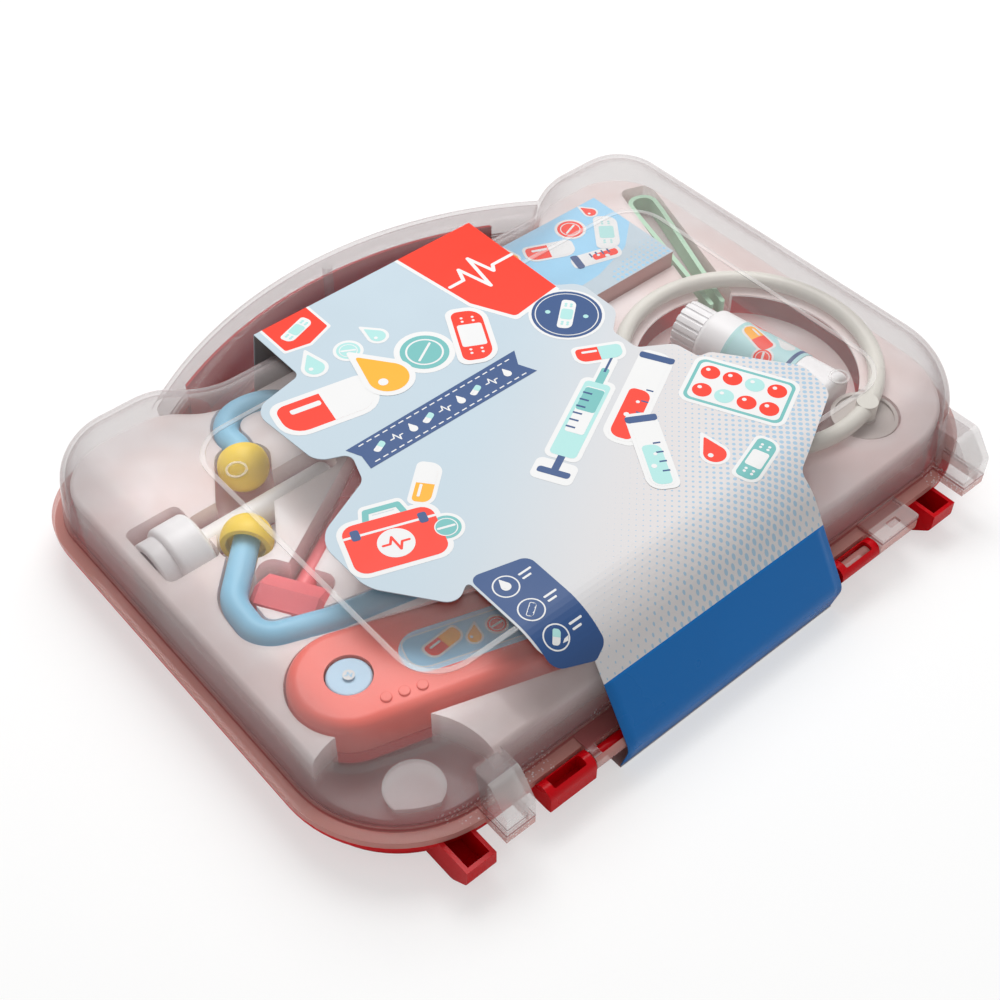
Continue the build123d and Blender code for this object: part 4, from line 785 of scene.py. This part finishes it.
class TOYCASE_OT_sleeve_print(bpy.types.Operator):
    """Prints the motifs on the sleeve"""

    bl_idname = "toycase.sleeve_print"
    bl_label = "Sleeve print"

    def execute(self, context):
        ink = Print(bend_over)
        # Far left tag with a plaster, and the red corner with a pulse line.
        tag = [(-53.5, 79), (-53.5, 63), (-43, 60.5), (-31.5, 64.5), (-31.5, 79)]
        ink.polygon(tag, [0, 1, 0, 1, 0], "white", 1)
        tag = [(-52.4, 79), (-52.4, 64), (-43, 61.8), (-32.6, 65.4), (-32.6, 79)]
        ink.polygon(tag, [0, 1, 0, 1, 0], "red", 2)
        outlined(
            ink, plaster, 3, wide=14.0, high=5.4, first="white", pad="mint",
            place=(-42.5, 71), turn=18,
        )
        corner = [(9, 79), (14, 40), (22.5, 22.5), (46.3, 25.5), (46.3, 79)]
        ink.polygon(corner, [0, 3, 2, 0, 0], "white", 1)
        corner = [(10.6, 79), (15.4, 41), (23.6, 24.6), (46.3, 27.5), (46.3, 79)]
        ink.polygon(corner, [0, 3, 2, 0, 0], "red", 2)
        ink.stroke(
            [(15.5, 53), (22, 53), (24.5, 59), (28, 44), (31.5, 62), (34.5, 50), (36.5, 53), (46, 53)],
            1.5, "white", 3,
        )
        # A row of remedies, running up the card.
        remedies = (
            (capsule, 2, 2.2, (-58, 31), -12, {"wide": 34, "high": 15}),
            (drop, 6, 2.2, (-32.5, 29), 10, {"radius": 7.5, "first": "amber"}),
            (tablet, 2, 2.2, (-14.5, 31), 30, {"radius": 9.0, "first": "teal"}),
            (plaster, 6, 2.0, (4.5, 27), 62, {"wide": 27, "high": 11.5, "first": "red"}),
            (drop, 2, 1.4, (-49.5, 50), -15, {"radius": 3.6, "first": "mint"}),
            (tablet, 2, 1.2, (-35, 49.5), -30, {"radius": 4.4, "first": "mint"}),
            (drop, 2, 1.2, (-22, 49), 15, {"radius": 3.0, "first": "mint"}),
        )
        scatter(ink, remedies)
        # Navy ribbon with a stitched edge and a row of small signs.
        ribbon = [(-66, 9.5), (-63.5, 3.8), (-64.6, -2.8), (9.8, -2.8), (6.8, 4.0), (10.6, 10.5)]
        ink.polygon(ribbon, 0.0, "navy", 3)
        for step in range(20):
            for y in (8.2, -1.2):
                ink.box(2.1, 0.5, 0, "white", 4, at=(-60.5 + step * 3.45, y))
        pulse = ((-2.4, 3.4), (-1, 3.4), (-0.2, 5.2), (0.8, 1.6), (1.4, 3.4), (2.6, 3.4))
        for step in range(9):
            x = -56 + step * 7.1
            if step % 3 == 0:
                small_capsule(ink, 4, high=2.4, place=(x, 3.5), turn=25)
            elif step % 3 == 1:
                ink.stroke([(x + along, y) for along, y in pulse], 0.5, "white", 4)
            else:
                outlined(ink, drop, 4, radius=1.5, first="white", place=(x, 2.8))
        # Round badge on the right.
        badge = {"place": (38.5, 13.0)}
        for layer, radius in enumerate((14.2, 13.1, 11.9, 11.5), start=2):
            ink.disc(radius, "navy" if layer % 2 else "white", layer, **badge)
        outlined(
            ink, plaster, 6, wide=16, high=5.6, first="white", pad="mint", turn=40, **badge
        )
        ink.disc(1.0, "mint", 6, place=(34, 18.5))
        ink.disc(1.0, "mint", 6, place=(43, 7.5))
        # First-aid bag on the left lobe.
        self.bag(ink, place=(-78, -33), turn=-20)
        beside_bag = (
            (capsule, 2, 1.4, (-55, -20), 40, {"wide": 17, "high": 6.4, "first": "amber"}),
            (tablet, 2, 1.2, (-62, -39.5), -20, {"radius": 5.0, "first": "teal"}),
        )
        scatter(ink, beside_bag)
        # Syringe, tube, blister pack and drops on the right.
        self.syringe(ink, place=(5, -31), turn=28)
        tubes = (
            (test_tube, 2, 1.6, (28, -36), -62, {"wide": 10, "high": 46, "first": "red"}),
            (test_tube, 8, 1.4, (13, -58), -30, {"wide": 8.4, "high": 34}),
        )
        scatter(ink, tubes)
        self.blister(ink, place=(57, -57), turn=-64)
        small_remedies = (
            (capsule, 2, 1.4, (33, -10.5), -28, {"wide": 17, "high": 7, "second": "mint"}),
            (drop, 2, 1.2, (28, -73), -20, {"radius": 4.0, "first": "red"}),
            (plaster, 2, 1.2, (37, -84), 18, {"wide": 20, "high": 7.6, "first": "teal"}),
        )
        scatter(ink, small_remedies)
        # Small panel with three rings near the left corner.
        self.panel(ink)
        piece = new_piece("card_print", ink.shape, "lid", ink_materials(), smooth=False)
        return {"FINISHED"}

    def bag(self, ink, **where):
        ink.stroke([(-7, 9), (-5.5, 15), (5.5, 15), (7, 9)], 4.6, "white", 2, **where)
        ink.box(35.0, 25.0, 6.0, "white", 2, **where)
        ink.stroke([(-7, 9), (-5.5, 14.6), (5.5, 14.6), (7, 9)], 2.2, "teal", 3, **where)
        ink.box(31.4, 21.4, 4.6, "red", 4, **where)
        ink.box(31.4, 1.0, 0, "white", 5, at=(0, 5.6), **where)
        ink.disc(6.2, "white", 6, at=(0, -1.4), **where)
        pulse = [(-4.4, -1.4), (-2, -1.4), (-0.8, 1.4), (0.8, -4.4), (2.0, -1.4), (4.4, -1.4)]
        ink.stroke(pulse, 0.9, "red", 7, **where)
        for x in (-11.5, 11.5):
            ink.box(3.0, 4.6, 0.9, "navy", 6, at=(x, 6.0), **where)

    def syringe(self, ink, **where):
        ink.box(42.0, 13.0, 3.0, "white", 2, **where)
        ink.box(16.0, 5.4, 2.0, "white", 2, at=(26, 0), **where)
        ink.box(10.0, 15.0, 2.5, "white", 2, at=(-27, 0), **where)
        ink.box(38.6, 9.6, 1.8, "mint", 3, **where)
        ink.box(24.0, 7.0, 1.0, "white", 4, at=(4.5, 0), **where)
        ink.box(12.0, 7.0, 1.0, "teal", 5, at=(10, 0), **where)
        for row in range(6):
            ink.box(0.8, 3.4, 0, "navy", 6, at=(-5 + row * 3.6, 2.0), **where)
        ink.box(9.0, 3.0, 1.0, "teal", 3, at=(23, 0), **where)
        ink.box(9.0, 0.9, 0, "navy", 3, at=(30, 0), **where)
        ink.box(9.0, 2.6, 0, "navy", 3, at=(-23, 0), **where)
        ink.box(2.8, 11.6, 1.2, "navy", 4, at=(-27.5, 0), **where)

    def blister(self, ink, **where):
        ink.box(39.0, 25.0, 4.2, "white", 2, **where)
        ink.box(36.0, 22.0, 3.0, "teal", 3, **where)
        ink.box(33.6, 19.6, 2.4, "white", 4, **where)
        for column in range(4):
            for row in (-1, 1):
                at = (-12.3 + column * 8.2, row * 4.9)
                ink.disc(3.5, "red" if (column + row) % 3 else "mint", 5, at=at, **where)
                ink.disc(0.8, "white", 6, at=(at[0] - 1.2, at[1] + 1.2), **where)

    def panel(self, ink):
        corners = [(-70.6, -60.5), (-50.0, -66.0), (-50.0, -105.0), (-55.5, -108.5), (-70.6, -103.0)]
        ink.polygon(corners, [3, 4, 4, 2, 6], "navy", 2)
        for row, s in enumerate((-71.0, -83.0, -95.0)):
            where = {"place": (-63.6, s)}
            ink.disc(4.5, "white", 3, **where)
            ink.disc(4.0, "navy", 4, **where)
            if row == 0:
                outlined(ink, drop, 5, radius=1.7, first="white", **where)
            elif row == 1:
                outlined(
                    ink, plaster, 5, wide=5.6, high=2.4, first="white", pad="navy",
                    turn=35, **where,
                )
            else:
                small_capsule(ink, 5, high=2.6, turn=50, **where)
            ink.box(5.2, 0.8, 0.4, "white", 3, place=(-55.0, s + 1.0))
            ink.box(3.6, 0.8, 0.4, "white", 3, place=(-55.8, s - 1.0))


class TOYCASE_OT_shells(bpy.types.Operator):
    """Finishes the red base and the clear lid"""

    bl_idname = "toycase.shells"
    bl_label = "Base and lid"

    def execute(self, context):
        colours = context.scene.toy_case_plastic
        dress("base_shell", moulded("Red shell", colours.red, 0.25, 0.03, 1.0, 0.12))
        clear = clear_plastic(
            "Clear lid", colours.clear, colours.clear_glance_shade, body=0.05, glance=0.90, sharpness=3.2,
            roughness=0.06, wave=0.0003, denser=lid_density,
        )
        dress("lid_shell", clear)
        return {"FINISHED"}


class TOYCASE_OT_tray(bpy.types.Operator):
    """Finishes the formed tray as clear film"""

    bl_idname = "toycase.tray"
    bl_label = "Tray"

    def execute(self, context):
        colours = context.scene.toy_case_plastic
        film = clear_plastic(
            "Tray film", colours.tray, colours.tray_edge, body=0.06, glance=0.26, sharpness=1.4,
            roughness=0.14, wave=0.0012, denser=film_density, facets=1.6,
        )
        shader = film.node_tree.nodes["Principled BSDF"]
        # Painted light: a faint glow that stands in for the film's white reflections.
        preset(shader, {"Emission Color": FILM_GLOW, "Emission Strength": FILM_GLOW_STRENGTH})
        dress("insert_tray", film)
        return {"FINISHED"}


class TOYCASE_OT_toys(bpy.types.Operator):
    """Finishes the toy instruments"""

    bl_idname = "toycase.toys"
    bl_label = "Toy instruments"

    def execute(self, context):
        colours = context.scene.toy_case_plastic
        finishes = (
            ("Thermometer salmon", colours.salmon, 0.36, "thermometer_upper_shell"),
            ("Thermometer red", colours.thermometer_red, 0.36, "thermometer_lower_shell"),
            ("Pale blue", colours.pale_blue, 0.36, "thermometer_button", "thermometer_label"),
            ("Probe grey", colours.mirror, 0.3, "thermometer_probe"),
            ("Arm blue", colours.arm_blue, 0.42, "stethoscope_upper_arm", "stethoscope_lower_arm",
             "stethoscope_yoke", "chest_piece"),
            ("Ear tip yellow", colours.yellow, 0.45, "chest_piece_diaphragm", "stethoscope_ball_tip",
             "stethoscope_cup_tip"),
            ("Toy white", colours.white, 0.34, "torch_body", "torch_collar", "bottle_body", "bottle_cap"),
            ("Lens grey", colours.lens, 0.2, "torch_lens"),
            ("Hammer red", colours.hammer, 0.3, "hammer_head", "hammer_handle"),
            ("Bottle label", colours.bottle_teal, 0.4, "bottle_label"),
            ("Band white", colours.band, 0.3, "headband"),
            ("Mirror grey", colours.mirror, 0.25, "head_mirror", "mirror_rivet"),
            ("Tweezers green", colours.green, 0.35, "tweezers"),
            # The carton's colour is painted shade and red light from the base.
            ("Carton card in painted shade", colours.carton, 0.5, "card_carton"),
        )
        for name, tint, roughness, *parts in finishes:
            material = moulded(name, tint, roughness)
            for node in parts:
                dress(node, material)
        return {"FINISHED"}


# Where the prints start, in mm, and their turn in degrees: the middle of the thermometer's
# button, and of the face of the bottle's cap.
THERMOMETER_PLACE, THERMOMETER_ANGLE = (-114.3, -54.5), -18.1
BOTTLE_PLACE, BOTTLE_ANGLE = (92.0, 1.0, 27.1), -82.6


class TOYCASE_OT_labels(bpy.types.Operator):
    """Prints the carton, the thermometer's label and the bottle's label"""

    bl_idname = "toycase.labels"
    bl_label = "Carton and labels"

    def execute(self, context):
        self.carton()
        self.thermometer()
        self.bottle()
        return {"FINISHED"}

    def finish(self, name, ink, slot):
        piece = new_piece(name, ink.shape, "base", ink_materials(), smooth=False)

    def carton(self):
        low, high = (Vector(corner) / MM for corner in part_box("card_carton"))
        middle = (low + high) / 2
        ink = Print(lay_flat(middle.xy, 0, high.z))
        wide, deep = (high - low).xy
        ink.box(wide, deep, 0.3, "sky", 1)
        wave = [
            (-wide / 2, -23.5), (35, -23.5), (35, 2), (22, -9), (2, -15), (-16, -16), (-35, -12),
        ]
        ink.polygon(wave, [0, 0, 0, 8, 8, 8, 0], "card_blue", 2)
        for column in range(13):
            for row in range(6 - column // 3):
                size = 0.75 - 0.09 * row
                ink.disc(size, "sky", 3, place=(33.4 - column * 2.3, -22 + row * 2.3))
        motifs = (
            (capsule, 4, 1.1, (-3, 9), -24, {"wide": 19, "high": 8}),
            (tablet, 4, 1.1, (13, 14), 20, {"radius": 5.4}),
            (plaster, 8, 1.1, (23, 3), 52, {"wide": 19, "high": 7.6, "first": "white", "pad": "mint"}),
            (drop, 4, 0.9, (-18, 15), -18, {"radius": 3.0, "first": "amber"}),
            (test_tube, 4, 1.0, (9, -6), 74, {"wide": 5.6, "high": 20, "first": "red"}),
            (drop, 4, 0.8, (27, 17), 12, {"radius": 2.4, "first": "red"}),
        )
        scatter(ink, motifs)
        self.finish("carton_print", ink, "carton_card")

    def thermometer(self):
        ink = Print(lay_flat(THERMOMETER_PLACE, THERMOMETER_ANGLE, top_of("thermometer_label")))
        ink.box(54.4, 13.6, 6.8, "white", 1, at=(46, 0))
        ink.box(53.6, 12.8, 6.4, "sky", 2, at=(46, 0))
        motifs = (
            (capsule, 3, 0.8, (32, 0.6), 22, {"wide": 13, "high": 5.4, "second": "amber"}),
            (drop, 3, 0.7, (42, -1.2), -20, {"radius": 2.3, "first": "amber"}),
            (tablet, 3, 0.7, (50.5, 0.8), 15, {"radius": 3.2}),
            (plaster, 3, 0.7, (61, -0.4), -24, {"wide": 12, "high": 4.6, "first": "teal"}),
        )
        scatter(ink, motifs)
        ink.disc(2.0, "white", 3)
        ink.stroke([(-1.3, 0), (-0.5, 0), (0, 1.1), (0.5, -1.1), (0.9, 0), (1.3, 0)], 0.35, "sky", 4)
        self.finish("thermometer_print", ink, "label_blue")

    def bottle(self):
        radius = top_of("bottle_label") - BOTTLE_PLACE[2]
        ink = Print(lay_round(BOTTLE_PLACE, BOTTLE_ANGLE, radius))
        motifs = (
            (drop, 2, 0.8, (-9, 30), 190, {"radius": 2.6, "first": "red"}),
            (capsule, 2, 0.9, (0, 33), 70, {"wide": 14, "high": 5.6, "first": "amber", "second": "red"}),
            (tablet, 2, 0.8, (7, 40), 20, {"radius": 3.6}),
            (drop, 2, 0.8, (-4, 44), 160, {"radius": 2.3, "first": "white"}),
        )
        scatter(ink, motifs)
        ink.box(24, 1.6, 0, "navy", 2, at=(0, 49.6))
        ink.box(24, 1.0, 0, "mint", 2, at=(0, 25.4))
        self.finish("bottle_print", ink, "label_teal")


# Stage, in metres. The floor glows by itself to the camera, more so away from the case.
FLOOR_REACH, FLOOR_WHITE = 4.0, (0.99, 0.99, 0.99, 1.0)
GLOW_NEAR, GLOW_FAR, GLOW_SHARE = 0.25, 0.9, 0.55
EVEN_LIGHT, SEEN_WHITE = (1.0, 0.995, 0.985, 1.0), (1.0, 1.0, 1.0, 1.0)
SOFT_BOX_SIZE, SOFT_BOX_PLACE, SOFT_BOX_AIM = (0.7, 0.5), (0.25, 0.35, 0.85), Vector((0, 0, 0.02))
CAMERA_PLACE = (-0.2638, -0.3015, 0.4259)
CAMERA_RIGHT, CAMERA_UP = Vector((0.759, -0.651, 0.0)), Vector((0.4792, 0.5587, 0.6768))
SENSOR_WIDTH = 36.0


class TOYCASE_OT_stage(bpy.types.Operator):
    """Sets the floor, the lamps and the camera"""

    bl_idname = "toycase.stage"
    bl_label = "Stage"

    def execute(self, context):
        settings = context.scene.toy_case_stage
        shape = bmesh.new()
        bmesh.ops.create_grid(shape, x_segments=1, y_segments=1, size=FLOOR_REACH)
        material, tree, shader = new_material("Floor white")
        preset(shader, {"Base Color": FLOOR_WHITE, "Roughness": 0.8, "Specular IOR Level": 0.1})
        white = new_node(tree, "Emission")
        blend = new_node(tree, "MixShader")
        seen = new_node(tree, "LightPath").outputs["Is Camera Ray"]
        reach = new_node(tree, "VectorMath")
        reach.operation = "LENGTH"
        link(tree, object_coordinates(tree), reach.inputs[0])
        share = map_range(tree, reach.outputs["Value"], GLOW_NEAR, GLOW_FAR, GLOW_SHARE, 1.0, True)
        link(tree, calc(tree, "MULTIPLY", seen, share), blend.inputs[0])
        link(tree, shader.outputs[0], blend.inputs[1])
        link(tree, white.outputs[0], blend.inputs[2])
        link(tree, blend.outputs[0], tree.nodes["Material Output"].inputs[0])
        floor = new_piece("floor", shape, None, [material])

        world = bpy.data.worlds.new("Even light")
        context.scene.world = world
        world.use_nodes = True
        tree = world.node_tree
        light = tree.nodes["Background"]
        preset(light, {"Color": EVEN_LIGHT, "Strength": settings.fill})
        seen = new_node(tree, "Background")
        preset(seen, {"Color": SEEN_WHITE})
        mix = new_node(tree, "MixShader")
        rays = new_node(tree, "LightPath")
        direct = calc(tree, "MAXIMUM", rays.outputs["Is Camera Ray"], rays.outputs["Is Glossy Ray"])
        link(tree, calc(tree, "MAXIMUM", direct, rays.outputs["Is Transmission Ray"]), mix.inputs[0])
        link(tree, light.outputs[0], mix.inputs[1])
        link(tree, seen.outputs[0], mix.inputs[2])
        link(tree, mix.outputs[0], tree.nodes["World Output"].inputs[0])

        lamp = bpy.data.lights.new("soft_box", "AREA")
        lamp.energy = settings.key_power
        lamp.shape = "RECTANGLE"
        lamp.size, lamp.size_y = SOFT_BOX_SIZE
        box = bpy.data.objects.new("soft_box", lamp)
        context.scene.collection.objects.link(box)
        box.location = SOFT_BOX_PLACE
        box.rotation_euler = (SOFT_BOX_AIM - box.location).to_track_quat("-Z", "Y").to_euler()

        camera = bpy.data.objects.new("camera", bpy.data.cameras.new("camera"))
        context.scene.collection.objects.link(camera)
        camera.data.lens = settings.lens
        camera.data.sensor_width = SENSOR_WIDTH
        back = CAMERA_RIGHT.cross(CAMERA_UP)
        turn = Matrix((CAMERA_RIGHT, CAMERA_UP, back)).transposed().to_4x4()
        camera.matrix_world = Matrix.Translation(CAMERA_PLACE) @ turn
        context.scene.camera = camera
        context.scene.view_settings.view_transform = "Standard"
        return {"FINISHED"}


class TOYCASE_PT_panel(bpy.types.Panel):
    """Lists the pieces and their settings"""

    bl_label = "Toy doctor case"
    bl_idname = "TOYCASE_PT_panel"
    bl_space_type = "VIEW_3D"
    bl_region_type = "UI"
    bl_category = "Toy case"

    def draw(self, context):
        for operator in OPERATORS:
            self.layout.operator(operator.bl_idname)
        for group_name in SETTINGS:
            group = getattr(context.scene, group_name)
            for name in group.__annotations__:
                self.layout.prop(group, name)


SETTINGS = {
    "toy_case_plastic": PlasticSettings,
    "toy_case_print": PrintSettings,
    "toy_case_stage": StageSettings,
}
OPERATORS = (
    TOYCASE_OT_shells,
    TOYCASE_OT_tray,
    TOYCASE_OT_toys,
    TOYCASE_OT_sleeve,
    TOYCASE_OT_sleeve_print,
    TOYCASE_OT_labels,
    TOYCASE_OT_stage,
)


def register():
    for group in SETTINGS.values():
        bpy.utils.register_class(group)
    for name, group in SETTINGS.items():
        setattr(bpy.types.Scene, name, bpy.props.PointerProperty(type=group))
    for operator in OPERATORS:
        bpy.utils.register_class(operator)
    bpy.utils.register_class(TOYCASE_PT_panel)


def unregister():
    bpy.utils.unregister_class(TOYCASE_PT_panel)
    for operator in reversed(OPERATORS):
        bpy.utils.unregister_class(operator)
    for name in SETTINGS:
        delattr(bpy.types.Scene, name)
    for group in SETTINGS.values():
        bpy.utils.unregister_class(group)


def main():
    register()
    for operator in OPERATORS:
        group, name = operator.bl_idname.split(".")
        getattr(getattr(bpy.ops, group), name)()


if __name__ == "__main__":
    main()
